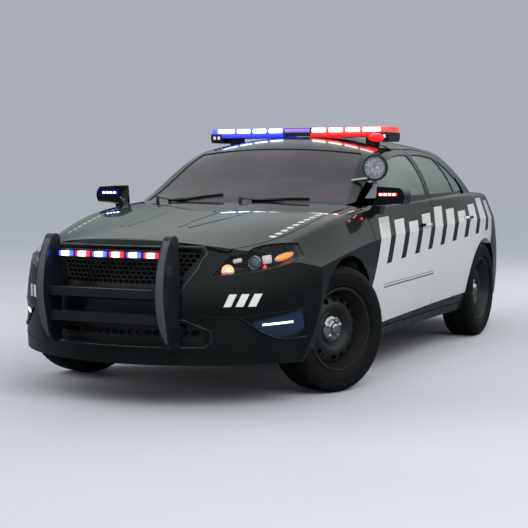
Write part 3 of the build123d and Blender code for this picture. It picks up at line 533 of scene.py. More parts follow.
def wheel_place(name):
    """Matrix from a wheel's local frame, with local Y outboard, to the car's."""
    joint = JOINTS["spin_" + name]
    sign = SIDES[name.split("_")[1]]
    outboard = (Vector(joint["axis"]) * sign).normalized()
    up = Vector((0, 0, 1))
    turn = Matrix((outboard.cross(up), outboard, up)).transposed().to_4x4()
    return Matrix.Translation(Vector(joint["pos_m"])) @ turn


def placed(vertices, place):
    """Vertices moved from a local frame to the car's."""
    return [place @ Vector(v) for v in vertices]


def at(x, y, z):
    """Matrix of a move to a place."""
    return Matrix.Translation((x, y, z))


def crease(made, degrees):
    """Marks a mesh's sharp edges."""
    mesh = bmesh.new()
    mesh.from_mesh(made.data)
    for edge in mesh.edges:
        if len(edge.link_faces) == 2 and edge.calc_face_angle(0.0) > math.radians(degrees):
            edge.smooth = False
    mesh.to_mesh(made.data)
    mesh.free()


def lists_of(mesh):
    """Vertices and faces of a bmesh, which is then freed."""
    mesh.verts.index_update()
    vertices = [v.co.copy() for v in mesh.verts]
    faces = [[v.index for v in f.verts] for f in mesh.faces]
    mesh.free()
    return vertices, faces


def fitted(name, mesh, finish, body="body", place=None):
    """A new piece from a bmesh, moved to a place."""
    if place:
        bmesh.ops.transform(mesh, matrix=place, verts=mesh.verts)
    bmesh.ops.recalc_face_normals(mesh, faces=mesh.faces)
    return piece(name, *lists_of(mesh), finish, body)


def facing(origin, forward):
    """Matrix whose local X points forward and local Z as near up as can be."""
    x = Vector(forward).normalized()
    y = Vector((0, 0, 1)).cross(x).normalized()
    return Matrix.Translation(Vector(origin)) @ Matrix((x, y, x.cross(y))).transposed().to_4x4()


def rounded_box(name, size, place, finish, body="body", bevel=0.002):
    """Box with rounded edges, centred on a place."""
    mesh = bmesh.new()
    bmesh.ops.create_cube(mesh, size=1.0)
    bmesh.ops.scale(mesh, vec=size, verts=mesh.verts)
    bmesh.ops.bevel(mesh, geom=mesh.edges, offset=bevel, segments=3, affect="EDGES")
    return fitted(name, mesh, finish, body, place)


def ball(name, radii, place, finish, body="body", steps=20):
    """Ellipsoid centred on a place."""
    mesh = bmesh.new()
    bmesh.ops.create_uvsphere(mesh, u_segments=steps, v_segments=steps // 2, radius=1.0)
    bmesh.ops.scale(mesh, vec=radii, verts=mesh.verts)
    return fitted(name, mesh, finish, body, place)


def rod(name, points, radius, finish, body="body", sides=10, closed=False, flat=1.0, slot=None):
    """Round or flattened bar along a line of points."""
    points = [Vector(p) for p in points if p]
    count = len(points)
    vertices, faces = [], []
    up = Vector((0, 0, 1))
    for i, point in enumerate(points):
        before = points[i - 1] if i or closed else point
        after = points[(i + 1) % count] if i < count - 1 or closed else point
        along = (after - before).normalized()
        if abs(along.dot(up)) > 0.97:
            up = Vector((1, 0, 0))
        across = along.cross(up).normalized()
        up = across.cross(along).normalized()
        for k in range(sides):
            angle = 2 * math.pi * k / sides
            reach = across * (radius * math.cos(angle)) + up * (radius * flat * math.sin(angle))
            vertices.append(point + reach)
    for i in range(count if closed else count - 1):
        j = (i + 1) % count
        for k in range(sides):
            n = (k + 1) % sides
            faces.append((i * sides + k, i * sides + n, j * sides + n, j * sides + k))
    if not closed:
        faces.append(tuple(reversed(range(sides))))
        faces.append(tuple(range((count - 1) * sides, count * sides)))
    return piece(name, vertices, faces, finish, body, slot)


def ring_points(steps, place):
    """Points round a ring, where place turns a cosine and a sine into a point."""
    turns = [2 * math.pi * i / steps for i in range(steps)]
    return [place(math.cos(turn), math.sin(turn)) for turn in turns]


SURFACES = {}


def touch(names, origin, direction, lift=0.0):
    """Where a ray first meets the named nodes, raised off the surface."""
    if names not in SURFACES:
        vertices, faces = [], []
        for name in names:
            start = len(vertices)
            vertices += [v.co.copy() for v in NODES[name].data.vertices]
            faces += [[start + i for i in p.vertices] for p in NODES[name].data.polygons]
        SURFACES[names] = BVHTree.FromPolygons(vertices, faces)
    hit, normal, _, _ = SURFACES[names].ray_cast(Vector(origin), Vector(direction))
    return None if hit is None else hit + normal * lift


def between(first, last, steps):
    """Points along a straight line."""
    first, last = Vector(first), Vector(last)
    return [first.lerp(last, i / (steps - 1)) for i in range(steps)]


def along_line(line, steps):
    """Points along a broken line, without its last."""
    return [spot for first, last in zip(line, line[1:]) for spot in between(first, last, steps)[:-1]]


# Wheels

TYRE_HALF_SECTION = [
    (0.3630, 0.0000), (0.3629, 0.0200), (0.3555, 0.0212), (0.3555, 0.0288), (0.3628, 0.0300),
    (0.3622, 0.0570), (0.3550, 0.0582), (0.3550, 0.0658), (0.3618, 0.0670), (0.3600, 0.0850),
    (0.3562, 0.0960), (0.3490, 0.1050), (0.3400, 0.1110), (0.3290, 0.1155), (0.3240, 0.1165),
    (0.3225, 0.1182), (0.3180, 0.1194), (0.3165, 0.1186), (0.3000, 0.1212), (0.2860, 0.1216),
    (0.2700, 0.1190), (0.2600, 0.1152), (0.2570, 0.1170), (0.2530, 0.1150), (0.2480, 0.1080),
    (0.2420, 0.1000), (0.2330, 0.0950), (0.2293, 0.0900),
]
TREAD_PITCHES = 64
STEPS_A_PITCH = 5
TREAD_SLANT = 0.020        # across the tread, for each step that the grooves shift
SHOULDER = (0.3485, 0.066)       # least radius and least distance from the middle of the shoulder blocks
RIBS = (0.3600, 0.0295)
SHOULDER_CUT = 0.0055      # depth of the grooves across the tread
RIB_CUT = 0.0035


def tyre(name):
    """Road tyre with four grooves round it and slanted grooves across its ribs."""
    half = TYRE_HALF_SECTION
    section = [(r, -y) for r, y in reversed(half[1:])] + list(half)
    vertices, faces = spun(section, TREAD_PITCHES * STEPS_A_PITCH, closed=False)
    cut = []
    for index, vertex in enumerate(vertices):
        step, row = divmod(index, len(section))
        r, y = section[row]
        shift = int(abs(y) / TREAD_SLANT) * (1 if y > 0 else -1)
        depth = 0.0
        if (step + shift) % STEPS_A_PITCH == 0:
            if r > SHOULDER[0] and abs(y) > SHOULDER[1]:
                depth = SHOULDER_CUT
            elif r > RIBS[0] and abs(y) > RIBS[1]:
                depth = RIB_CUT
        scale = (r - depth) / r
        cut.append(Vector((vertex.x * scale, vertex.y, vertex.z * scale)))
    made = piece("tyre_tread_" + name, placed(cut, wheel_place(name)), faces, "rubber", "wheel_" + name)
    crease(made, 38.0)
    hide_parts("tyre_" + name)


DISC_FRONT = [
    (0.030, 0.0260), (0.070, 0.0260), (0.083, 0.0268), (0.091, 0.0350), (0.100, 0.0470), (0.110, 0.0550),
    (0.122, 0.0600), (0.134, 0.0615), (0.144, 0.0600), (0.150, 0.0570), (0.190, 0.0350), (0.197, 0.0270),
    (0.2025, 0.0150),
]
BARREL = [
    (0.1990, 0.0300), (0.2060, 0.0480), (0.2160, 0.0760), (0.2235, 0.0990), (0.2265, 0.1050),
    (0.2330, 0.1060), (0.2390, 0.1045), (0.2408, 0.1010), (0.2370, 0.0975), (0.2292, 0.0940),
    (0.2290, 0.0620), (0.2070, 0.0340), (0.2070, -0.0340), (0.2290, -0.0620), (0.2292, -0.0940),
    (0.2408, -0.1010), (0.2390, -0.1045), (0.2265, -0.1050), (0.1990, -0.0300),
]
VENTS = 16
VENT_RING = 0.169
VENT_R = 0.0165
VENT_BAND = (0.150, 0.190)
VENT_SIDE = 6              # steps along each side of a vent's sector
PLATE = 0.004              # thickness of the pressed disc


def disc_height(r):
    """Height of the wheel disc's face at a radius."""
    for (r0, y0), (r1, y1) in zip(DISC_FRONT, DISC_FRONT[1:]):
        if r0 <= r <= r1:
            return y0 + (y1 - y0) * (r - r0) / (r1 - r0)
    return DISC_FRONT[-1][1]


def vent_sector(middle):
    """Rings of points from the edge of one vent's sector in to the vent, as (radius, angle)."""
    half = math.pi / VENTS
    low, high = VENT_BAND
    corners = [(low, -half), (low, half), (high, half), (high, -half)]
    edge = []
    for (r0, a0), (r1, a1) in zip(corners, corners[1:] + corners[:1]):
        for i in range(VENT_SIDE):
            edge.append((r0 + (r1 - r0) * i / VENT_SIDE, a0 + (a1 - a0) * i / VENT_SIDE))
    rings = []
    for share in (0.0, 0.55, 0.85, 1.0):
        ring = []
        for r, angle in edge:
            u, v = r - VENT_RING, VENT_RING * angle
            reach = math.hypot(u, v)
            cu, cv = u / reach * VENT_R, v / reach * VENT_R
            u, v = u + (cu - u) * share, v + (cv - v) * share
            ring.append((VENT_RING + u, middle + v / VENT_RING))
        rings.append(ring)
    return rings


def wheel_disc():
    """Pressed steel disc with its ring of vents, as vertices and faces in the wheel's local frame."""
    mesh = bmesh.new()

    def vertex(r, angle):
        return mesh.verts.new((r * math.cos(angle), disc_height(r), r * math.sin(angle)))

    around = VENTS * VENT_SIDE
    inner = [r for r, _ in DISC_FRONT if r <= VENT_BAND[0] + 0.0001]
    outer = [r for r, _ in DISC_FRONT if r >= VENT_BAND[1] - 0.0001]
    for rows in (inner, outer):
        angles = [2 * math.pi * i / around - math.pi / VENTS for i in range(around)]
        grid = [[vertex(r, angle) for r in rows] for angle in angles]
        for first, second in zip(grid, grid[1:] + grid[:1]):
            for k in range(len(rows) - 1):
                mesh.faces.new((first[k], first[k + 1], second[k + 1], second[k]))
    for number in range(VENTS):
        rings = [[vertex(r, a) for r, a in ring] for ring in vent_sector(2 * math.pi * number / VENTS)]
        for far, near in zip(rings, rings[1:]):
            for i in range(len(far)):
                j = (i + 1) % len(far)
                mesh.faces.new((far[i], near[i], near[j], far[j]))
    bmesh.ops.remove_doubles(mesh, verts=mesh.verts, dist=1e-5)
    bmesh.ops.recalc_face_normals(mesh, faces=mesh.faces)
    if sum(f.normal.y * f.calc_area() for f in mesh.faces) < 0:
        bmesh.ops.reverse_faces(mesh, faces=mesh.faces)
    bmesh.ops.solidify(mesh, geom=mesh.faces, thickness=PLATE)
    return lists_of(mesh)


CAP_PROFILE = [
    (0.0008, 0.0748), (0.0115, 0.0747), (0.0207, 0.0735), (0.0276, 0.0705), (0.0322, 0.0650),
    (0.0345, 0.0585), (0.0391, 0.0540), (0.0460, 0.0515), (0.0529, 0.0500), (0.0598, 0.0490),
    (0.0667, 0.0470), (0.0725, 0.0430), (0.0771, 0.0370), (0.0799, 0.0300), (0.0805, 0.0272),
    (0.0759, 0.0268), (0.0345, 0.0262), (0.0008, 0.0262),
]
CAP_STEPS = 120
LUGS = 5
LUG_FIRST = 0.25           # place of the first, in pitches
LUG_RING = 0.0558
LUG_R = 0.0132
LUG_RISE = 0.0085


def wheel_cap(name):
    """Plated cap with a raised hub and five domed nut covers."""
    vertices, faces = spun(CAP_PROFILE, CAP_STEPS)
    shaped = []
    for vertex in vertices:
        rise = 0.0
        if vertex.y > 0.0300:
            for lug in range(LUGS):
                angle = 2 * math.pi * (lug + LUG_FIRST) / LUGS
                x, z = LUG_RING * math.cos(angle), LUG_RING * math.sin(angle)
                off = math.hypot(vertex.x - x, vertex.z - z)
                rise = max(rise, LUG_RISE * max(0.0, 1 - (off / LUG_R) ** 4))
        shaped.append(vertex + Vector((0, rise, 0)))
    made = piece("cap_dome_" + name, placed(shaped, wheel_place(name)), faces, "chrome", "wheel_" + name)
    crease(made, 50.0)
    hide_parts("cap_" + name)


def wheel_rim(name, disc):
    """Pressed steel wheel: rolled barrel and vented disc."""
    vertices, faces = spun(BARREL, 96)
    start = len(vertices)
    vertices = placed(vertices + disc[0], wheel_place(name))
    faces = faces + [tuple(start + i for i in face) for face in disc[1]]
    made = piece("rim_steel_" + name, vertices, faces, "wheel_steel", "wheel_" + name)
    crease(made, 40.0)
    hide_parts("rim_" + name)


def wheels():
    """All four wheels."""
    disc = wheel_disc()
    for name in ("front_left", "front_right", "rear_left", "rear_right"):
        tyre(name)
        wheel_rim(name, disc)
        wheel_cap(name)


# Lamps

LIGHTBAR_X = -0.075             # middle of the light bar
LIGHTBAR_HALF = 0.120
LIGHTBAR_TRAY_Z = 1.514
LIGHTBAR_LAMP_Z = 1.5475
LIGHTBAR_TOP = 1.567
MODULES = ((0.165, 0.052), (0.290, 0.052), (0.415, 0.052), (0.552, 0.066))  # middle and half of each block
BLOCK_SIZE = (0.012, 0.029)     # depth and height
BLOCK_SUNK = 0.0035
SKIRT_SIZE = (0.006, 0.48, 0.027)
SKIRT_Y = 0.345
END_LIGHT_SIZE = (0.006, 0.020, 0.024)
END_LIGHT_Y = (0.612, 0.645)
END_LIGHT_Z = 1.502
STRAP_FOOT = (0.560, 1.490)     # y and z of the strap's lower end
STRAP_Y = (0.575, 0.600, 0.625)


def light_bar():
    """Lit blocks, coloured skirts, small end lights and roof straps of the light bar."""
    front = LIGHTBAR_X + LIGHTBAR_HALF
    for hand, side in SIDES.items():
        hue = HUES[hand]
        for number, (middle, half) in enumerate(MODULES):
            for end, sign in (("front", 1), ("rear", -1)):
                place = at(LIGHTBAR_X + sign * (LIGHTBAR_HALF - BLOCK_SUNK), side * middle, LIGHTBAR_LAMP_Z)
                size = (BLOCK_SIZE[0], 2 * half, BLOCK_SIZE[1])
                rounded_box(f"lightbar_block_{hue}_{end}_{number}", size, place, "hot_" + hue, bevel=0.005)
            top = at(LIGHTBAR_X, side * middle, LIGHTBAR_TOP - 0.0005)
            size = (LIGHTBAR_HALF, 2 * half - 0.014, 0.004)
            rounded_box(f"lightbar_top_{hue}_{number}", size, top, hue + "_skirt", bevel=0.0015)
        for end, sign in (("", 1), ("rear_", -1)):
            place = at(LIGHTBAR_X + sign * (LIGHTBAR_HALF + 0.001), side * SKIRT_Y, LIGHTBAR_TRAY_Z)
            rounded_box("lightbar_" + end + "skirt_" + hue, SKIRT_SIZE, place, hue + "_skirt")
        for number, y in enumerate(END_LIGHT_Y):
            place = at(front - 0.002, side * y, END_LIGHT_Z)
            rounded_box(f"lightbar_end_light_{hue}_{number}", END_LIGHT_SIZE, place, "pale_light")
        strap = [(LIGHTBAR_X, side * STRAP_FOOT[0], STRAP_FOOT[1])]
        strap += [touch(("body_shell",), (LIGHTBAR_X, side * y, 1.9), DOWN, 0.002) for y in STRAP_Y]
        rod("lightbar_strap_" + hue, strap, 0.014, "chrome", flat=0.16)
    ball("lightbar_bulge", (0.040, 0.062, 0.030), at(front - 0.012, 0.585, 1.494), "red_skirt")
    window = at(front - 0.004, 0, 1.546)
    rounded_box("lightbar_middle_window", (0.004, 0.19, 0.026), window, "violet", bevel=0.001)


HEADLAMP_BULB = (2.252, 0.562, 0.732)
HEADLAMP_PROJECTOR = (2.160, 0.674, 0.773)
AMBER_ENDS = ((2.075, 0.762, 0.789), (1.945, 0.795, 0.811))
AMBER_RIM = (0.078, 0.017)
RED_MARKERS = ((2.132, 0.722, 0.748), (1.928, 0.789, 0.812))
REFLECTORS = (             # ends and height of each pale reflector
    ((2.236, 0.585, 0.781), (2.205, 0.622, 0.790), 0.022),
    ((2.276, 0.560, 0.722), (2.262, 0.580, 0.724), 0.016),
    ((2.132, 0.708, 0.786), (2.088, 0.742, 0.792), 0.046),
)
LOWER_BEZEL = ((2.215, 0.640, 0.728), (2.150, 0.712, 0.734), (2.085, 0.770, 0.752))
BOWL = [(0.0006, -0.0220), (0.0153, -0.01892), (0.0272, -0.00924), (0.0340, 0.0)]
BOWL_SPLAY = 0.30          # how far the bowls look sideways
PROJECTOR_RING_R = 0.034


def headlamps():
    """What shows behind each headlamp's lens: bulb and bowl, projector and ring, reflectors, amber lamp. The
    bowl, the pale reflectors and the amber lamp's rim glow as painted highlights.
    """
    for hand, side in SIDES.items():
        def mirrored(point):
            return Vector((point[0], point[1] * side, point[2]))

        bowl = facing(mirrored(HEADLAMP_BULB), (1.0, side * BOWL_SPLAY, 0.0))
        vertices, faces = spun(BOWL, 28, closed=False)
        turn = bowl @ Matrix.Rotation(math.radians(-90), 4, "Z")
        piece("headlamp_bowl_" + hand, placed(vertices, turn), faces, "warm_reflector_highlight")
        ball("headlamp_bulb_" + hand, (0.012, 0.010, 0.010), bowl @ at(-0.010, 0, 0), "warm_bulb")
        centre = mirrored(HEADLAMP_PROJECTOR)
        ball("headlamp_projector_" + hand, (0.018, 0.0285, 0.0285), at(*centre), "projector", steps=32)
        ring = ring_points(40, lambda c, s: centre + PROJECTOR_RING_R * Vector((0, c, s)))
        rod("headlamp_ring_" + hand, ring, 0.0048, "chrome", closed=True)
        for number, (start, end, height) in enumerate(REFLECTORS):
            first, last = mirrored(start), mirrored(end)
            rounded_box(f"headlamp_reflector_{hand}_{number}", ((last - first).length, 0.010, height),
                        facing((first + last) / 2, last - first), "pale_reflector", bevel=0.004)
        first, last = (mirrored(end) for end in AMBER_ENDS)
        middle = facing((first + last) / 2, last - first)
        radii = ((last - first).length / 2, 0.012, 0.0125)
        ball("headlamp_amber_" + hand, radii, middle, "amber", steps=24)
        oval = ring_points(36, lambda c, s: middle @ Vector((AMBER_RIM[0] * c, 0.0, AMBER_RIM[1] * s)))
        rod("headlamp_amber_rim_" + hand, oval, 0.0022, "pale_reflector", sides=6, closed=True)
        for number, marker in enumerate(RED_MARKERS):
            place = at(*mirrored(marker))
            ball(f"headlamp_marker_{hand}_{number}", (0.011, 0.009, 0.012), place, "red_marker")
        rod("headlamp_bezel_" + hand, [mirrored(p) for p in LOWER_BEZEL], 0.010, "gloss_black", flat=0.7)


STRIP_ENDS = ((2.189, 0.736, 0.447), (2.054, 0.850, 0.457))
SPOON_TRIM = (
    (2.287, 0.650, 0.490), (2.253, 0.692, 0.452), (2.208, 0.741, 0.407), (2.153, 0.792, 0.377),
    (2.107, 0.829, 0.368), (2.045, 0.872, 0.369), (1.983, 0.909, 0.375),
)


def corner_strips():
    """White light strip in each corner pocket, and the trim under it."""
    for hand, side in SIDES.items():
        points = [
            touch(("corner_lamps",), (3.0, point.y * side, point.z), BACKWARD, 0.002)
            for point in between(*STRIP_ENDS, 9)
        ]
        rod("corner_strip_" + hand, points, 0.0065, "white_light", flat=0.8)
        spoon = [(x, y * side, z) for x, y, z in SPOON_TRIM]
        rod("corner_spoon_" + hand, spoon, 0.0085, "gloss_black", flat=0.7)


SPOTLIGHT = (0.669, 0.812, 1.285)
SPOT_FACETS = 20
SPOT_REFLECTOR = [
    (0.0006, -0.054), (0.020, -0.051), (0.040, -0.041), (0.056, -0.024), (0.066, -0.006), (0.0705, 0.006),
]
SPOT_LENS = [(0.0006, 0.0155), (0.040, 0.0150), (0.0715, 0.0125), (0.0715, 0.0105), (0.0006, 0.0125)]
SPOT_RIM = [
    (0.0725, 0.0215), (0.0800, 0.0225), (0.0835, 0.0180), (0.0835, 0.0020), (0.0805, 0.0000),
    (0.0802, 0.0200),
]
SPOT_YOKE = [(0.661, 0.812, 1.212), (0.655, 0.800, 1.194), (0.640, 0.770, 1.188), (0.606, 0.735, 1.196)]


def pillar_spotlight():
    """Faceted reflector, lens, black rim and chrome yoke of the pillar's spotlight."""
    turn = facing(SPOTLIGHT, (1, 0, 0)) @ Matrix.Rotation(math.radians(-90), 4, "Z")
    vertices, faces = spun(SPOT_REFLECTOR, SPOT_FACETS, closed=False)
    for i, vertex in enumerate(vertices):
        vertex.y += 0.0018 if (i // len(SPOT_REFLECTOR)) % 2 else 0.0
    piece("spotlight_reflector", placed(vertices, turn), faces, "chrome", smooth=False)
    vertices, faces = spun(SPOT_LENS, 40)
    piece("spotlight_lens", placed(vertices, turn), faces, "clear_lens")
    vertices, faces = spun(SPOT_RIM, 56)
    crease(piece("spotlight_rim", placed(vertices, turn), faces, "plastic"), 40.0)
    ball("spotlight_bulb", (0.012, 0.009, 0.009), at(*SPOTLIGHT) @ at(-0.030, 0, 0), "pale_light")
    rod("spotlight_yoke", SPOT_YOKE, 0.0125, "chrome", sides=14)
    ball("spotlight_clamp", (0.022, 0.017, 0.017), at(0.652, 0.797, 1.195), "chrome")


MIRROR_LAMP = (0.985, 1.120)     # y and z of the lit bar's middle
MIRROR_TRIM = ((0.912, 1.049), (1.070, 1.062))
MIRROR_BAR = (0.010, 0.120, 0.020)
MIRROR_LED = (0.004, 0.018, 0.012)
MIRROR_LEDS = 4
MIRROR_LED_PITCH = 0.028
FOOT_GLINT = (1.120, 0.889, 0.978)


def mirror_lights():
    """Lit bar and trim on the front of each mirror, and a small glowing dot at its foot that is a painted
    reflection, red on the left and blue on the right.
    """
    y, z = MIRROR_LAMP
    for hand, side in SIDES.items():
        door, skirt = "door_front_" + hand, HUES[hand] + "_skirt"
        face_x = max(v.co.x for v in NODES["mirror_" + hand].data.vertices)
        trim = [(face_x, side * trim_y, trim_z) for trim_y, trim_z in MIRROR_TRIM]
        rod("mirror_trim_" + hand, trim, 0.0035, "pale_trim", door, 8)
        # painted reflection: this dot glows in the light bar's colour where no lamp is
        foot = at(FOOT_GLINT[0], side * FOOT_GLINT[1], FOOT_GLINT[2])
        ball("wing_foot_glint_" + hand, (0.008, 0.007, 0.007), foot, skirt, steps=16)
        rounded_box("mirror_bar_" + hand, MIRROR_BAR, at(face_x + 0.003, side * y, z), skirt, door, 0.004)
        for number in range(MIRROR_LEDS):
            led_y = y + MIRROR_LED_PITCH * (number - (MIRROR_LEDS - 1) / 2)
            spot = at(face_x + 0.008, side * led_y, z)
            rounded_box(f"mirror_led_{hand}_{number}", MIRROR_LED, spot, "hot_" + HUES[hand], door, 0.0015)


# Trim

DOOR_HANDLES = (("front", 0.000, 0.905), ("rear", -0.985, 0.925))
HANDLE_FRONT = 0.115       # ahead of its middle
HANDLE_LONG = 0.19
HANDLE_RISE = 0.026


def door_handles():
    """A pull handle on each door, standing off the skin on two feet."""
    for hand, side in SIDES.items():
        for row, x, z in DOOR_HANDLES:
            door = "door_" + row + "_" + hand
            points = []
            for share in range(9):
                along = x + HANDLE_FRONT - HANDLE_LONG * share / 8
                hit = touch((door,), (along, side * 1.6, z), (0, -side, 0))
                rise = HANDLE_RISE * math.sin(math.pi * share / 8) ** 0.5 if 0 < share < 8 else 0.0
                points.append(hit + Vector((0, side * (rise + 0.002), 0)))
            rod("handle_" + row + "_" + hand, points, 0.0065, "side_paint", door, 12, flat=1.6)


GRILLES = (                # corners on one side, how far the frame lies outside them, and its thickness
    ("upper", ((0.357, 0.632), (0.462, 0.812), (0.440, 0.846)), 0.012, 0.0075),
    ("lower", ((0.380, 0.470), (0.512, 0.412), (0.512, 0.372), (0.480, 0.345)), 0.010, 0.0045),
)
FRAME_STEP = 0.030


def outline_points(corners):
    """Points along a closed outline that is mirrored about the middle plane, in front view."""
    loop = list(corners) + [(-y, z) for y, z in reversed(corners)]
    points = []
    for (y0, z0), (y1, z1) in zip(loop, loop[1:] + loop[:1]):
        count = max(2, int(math.hypot(y1 - y0, z1 - z0) / FRAME_STEP))
        points += [(y0 + (y1 - y0) * i / count, z0 + (z1 - z0) * i / count) for i in range(count)]
    return points


def grille_frames():
    """Thin satin frames round both openings of the bumper."""
    for name, corners, grow, radius in GRILLES:
        middle = sum(z for _, z in corners) / len(corners)
        points = []
        for y, z in outline_points(corners):
            off_y = y + (grow if y > 0 else -grow) * min(1.0, abs(y) / 0.3)
            off_z = z + (grow if z > middle else -grow)
            points.append(touch(("front_bumper", "bonnet"), (3.0, off_y, off_z), BACKWARD, 0.001))
        rod("grille_frame_" + name, points, radius, "satin_grey", sides=8, closed=True)


BUMPER_LINES = (           # name, thickness, finish and course
    ("ledge", 0.0030, "gloss_black", (
        (2.421, 0.424, 0.503), (2.361, 0.541, 0.492), (2.287, 0.650, 0.488), (2.152, 0.791, 0.510),
        (1.957, 0.921, 0.530),
    )),
    ("seam", 0.0026, "rubber", (
        (2.508, 0.0, 0.319), (2.484, 0.219, 0.300), (2.419, 0.423, 0.303), (2.331, 0.584, 0.309),
        (2.213, 0.732, 0.317), (1.940, 0.915, 0.326),
    )),
)
BUMPER_MIDDLE_X = 1.9      # the lines are cast inwards to this


def bumper_lines():
    """The ledge across each bumper corner and the seam above the chin."""
    for hand, side in SIDES.items():
        for name, radius, finish, line in BUMPER_LINES:
            points = []
            for spot in along_line(line, 5):
                away = Vector((spot.x - BUMPER_MIDDLE_X, spot.y * side, 0)).normalized()
                origin = Vector((spot.x, spot.y * side, spot.z)) + away * 0.3
                points.append(touch(("front_bumper", "grilles"), origin, -away, 0.0006))
            rod("bumper_" + name + "_" + hand, points, radius, finish, sides=8, slot="black_paint")


PUSH_EDGE = ((2.540, 0.345), (2.642, 0.620), (2.556, 0.900))   # x and z of the uprights' front edge
PUSH_Y = 0.365


def push_bar_edges():
    """Rounded strips down the front of the uprights and a thin bar along the upper cross bar, in a paler coat
    than the bar that is a painted highlight on its edges.
    """
    (x0, z0), (x1, z1), (x2, z2) = PUSH_EDGE
    for hand, side in SIDES.items():
        points = []
        for i in range(15):
            z = z0 + (z2 - z0) * i / 14
            share = (z - z1) / (z0 - z1 if z < z1 else z2 - z1)
            x = x1 - (x1 - (x0 if z < z1 else x2)) * share ** 2
            points.append((x, side * PUSH_Y, z))
        rod("push_highlight_strip_" + hand, points, 0.0235, "push_edge", sides=14, flat=0.28)
    rounded_box("push_channel_highlight", (0.006, 0.680, 0.006), at(2.598, 0, 0.645), "push_edge", bevel=0.0015)


BONNET_CREASES = (
    ((2.060, 0.162), (1.992, 0.164), (1.903, 0.152), (1.737, 0.158), (1.516, 0.174), (1.340, 0.187),
     (1.150, 0.180)),
    ((2.050, 0.215), (1.935, 0.240), (1.798, 0.275), (1.600, 0.315), (1.400, 0.345)),
)


def bonnet_creases():
    """Fine raised creases that run back along the bonnet."""
    for hand, side in SIDES.items():
        for number, line in enumerate(BONNET_CREASES):
            points = [
                touch(("bonnet",), (spot.x, spot.y * side, 2.0), DOWN, 0.0002)
                for spot in along_line([(x, y, 2.0) for x, y in line], 6)
            ]
            rod(f"bonnet_crease_{hand}_{number}", points, 0.0060, "gloss_black", "bonnet", 8, flat=0.30)


WIPERS = (                 # pivot and tip, in plan
    ("left", (1.070, 0.060), (0.955, 0.480)),
    ("right", (1.025, -0.560), (0.975, -0.110)),
)
WIPER_PIVOT_Z = 1.094


def wipers():
    """Each wiper's arm, its blade on the glass and its pivot cap, in place of the plain solids."""
    for hand, pivot, tip in WIPERS:
        def on_glass(share, back, lift):
            x = pivot[0] + (tip[0] - pivot[0]) * share - back
            y = pivot[1] + (tip[1] - pivot[1]) * share
            return touch(("fixed_glass", "body_shell"), (x, y, 1.6), DOWN, lift)

        start = Vector((*pivot, WIPER_PIVOT_Z))
        arm = [start] + [on_glass(share, 0.0, 0.012) for share in (0.25, 0.45, 0.65)]
        rod("wiper_arm_" + hand, arm, 0.0060, "plastic", flat=0.6)
        blade = [on_glass(share, 0.006, 0.008) for share in (0.16, 0.30, 0.45, 0.60, 0.75, 0.90, 1.0)]
        rod("wiper_blade_" + hand, blade, 0.0045, "rubber", sides=8, flat=1.8)
        cap = [start - Vector((0, 0, 0.045)), start + Vector((0, 0, 0.006))]
        rod("wiper_pivot_" + hand, cap, 0.0105, "plastic", sides=14)
    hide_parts("wipers")


# Cabin

CUSHION_STEPS = 8


def cushion(name, outline, half_width, y):
    """Padded piece: a side-view outline drawn out sideways, with rounded edges and narrower ends."""
    mesh = bmesh.new()
    cx = sum(p[0] for p in outline) / len(outline)
    cz = sum(p[1] for p in outline) / len(outline)
    rings = []
    for i in range(CUSHION_STEPS + 1):
        share = 2.0 * i / CUSHION_STEPS - 1.0
        grow = 1 - 0.03 * abs(share) ** 4
        rings.append([
            mesh.verts.new((cx + (px - cx) * grow, y + share * half_width, cz + (pz - cz) * grow))
            for px, pz in outline
        ])
    for first, second in zip(rings, rings[1:]):
        for k in range(len(outline)):
            n = (k + 1) % len(outline)
            mesh.faces.new((first[k], first[n], second[n], second[k]))
    mesh.faces.new(rings[0])
    mesh.faces.new(rings[-1])
    bmesh.ops.recalc_face_normals(mesh, faces=mesh.faces)
    sharp = [e for e in mesh.edges if len(e.link_faces) == 2 and e.calc_face_angle(0.0) > 0.5]
    bmesh.ops.bevel(mesh, geom=sharp, offset=0.016, segments=3, affect="EDGES", clamp_overlap=True)
    return fitted(name, mesh, "cloth")


SEAT_Y = 0.370
SEAT_PARTS = (             # outline in side view and half width
    ("cushion", ((-0.060, 0.296), (0.485, 0.326), (0.504, 0.380), (0.478, 0.436), (0.200, 0.412),
                 (-0.040, 0.396)), 0.238),
    ("back", ((-0.012, 0.404), (-0.055, 0.306), (-0.125, 0.324), (-0.236, 0.955), (-0.200, 1.004),
              (-0.145, 0.996)), 0.243),
    ("headrest", ((-0.178, 1.034), (-0.160, 1.176), (-0.236, 1.184), (-0.262, 1.044)), 0.128),
)
BENCH_CUSHION = ((-0.975, 0.272), (-0.525, 0.272), (-0.505, 0.415), (-0.560, 0.425), (-0.955, 0.400))
BENCH_BACK = ((-0.965, 0.402), (-1.118, 0.990), (-1.190, 0.994), (-1.062, 0.474), (-0.988, 0.470))
BENCH_Y = 0.355
SEAT_BASE = (0.490, 0.390, 0.058)
SEAT_POST = ((-0.172, 0.960), (-0.205, 1.080))   # x and z of its ends


def seats():
    """Cushions, backs and headrests in place of the plain seat solids."""
    for hand, side in SIDES.items():
        y = side * SEAT_Y
        for name, outline, half_width in SEAT_PARTS:
            cushion("seat_" + name + "_" + hand, outline, half_width, y)
        rounded_box("seat_base_" + hand, SEAT_BASE, at(0.210, y, 0.297), "cabin_trim", bevel=0.006)
        for number, off in enumerate((-0.045, 0.045)):
            post = [(x, y + off, z) for x, z in SEAT_POST]
            rod(f"seat_post_{hand}_{number}", post, 0.006, "chrome")
        cushion("bench_cushion_" + hand, BENCH_CUSHION, 0.222, side * BENCH_Y)
    cushion("bench_back", BENCH_BACK, 0.578, 0.0)
    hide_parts("seats")


# Every finish, and what it goes on

BLUE_GLOW = (0.02, 0.05, 0.85)
RED_GLOW = (0.80, 0.010, 0.015)
PUSH_LAMP = {"pitch": 0.105, "half": 0.029}


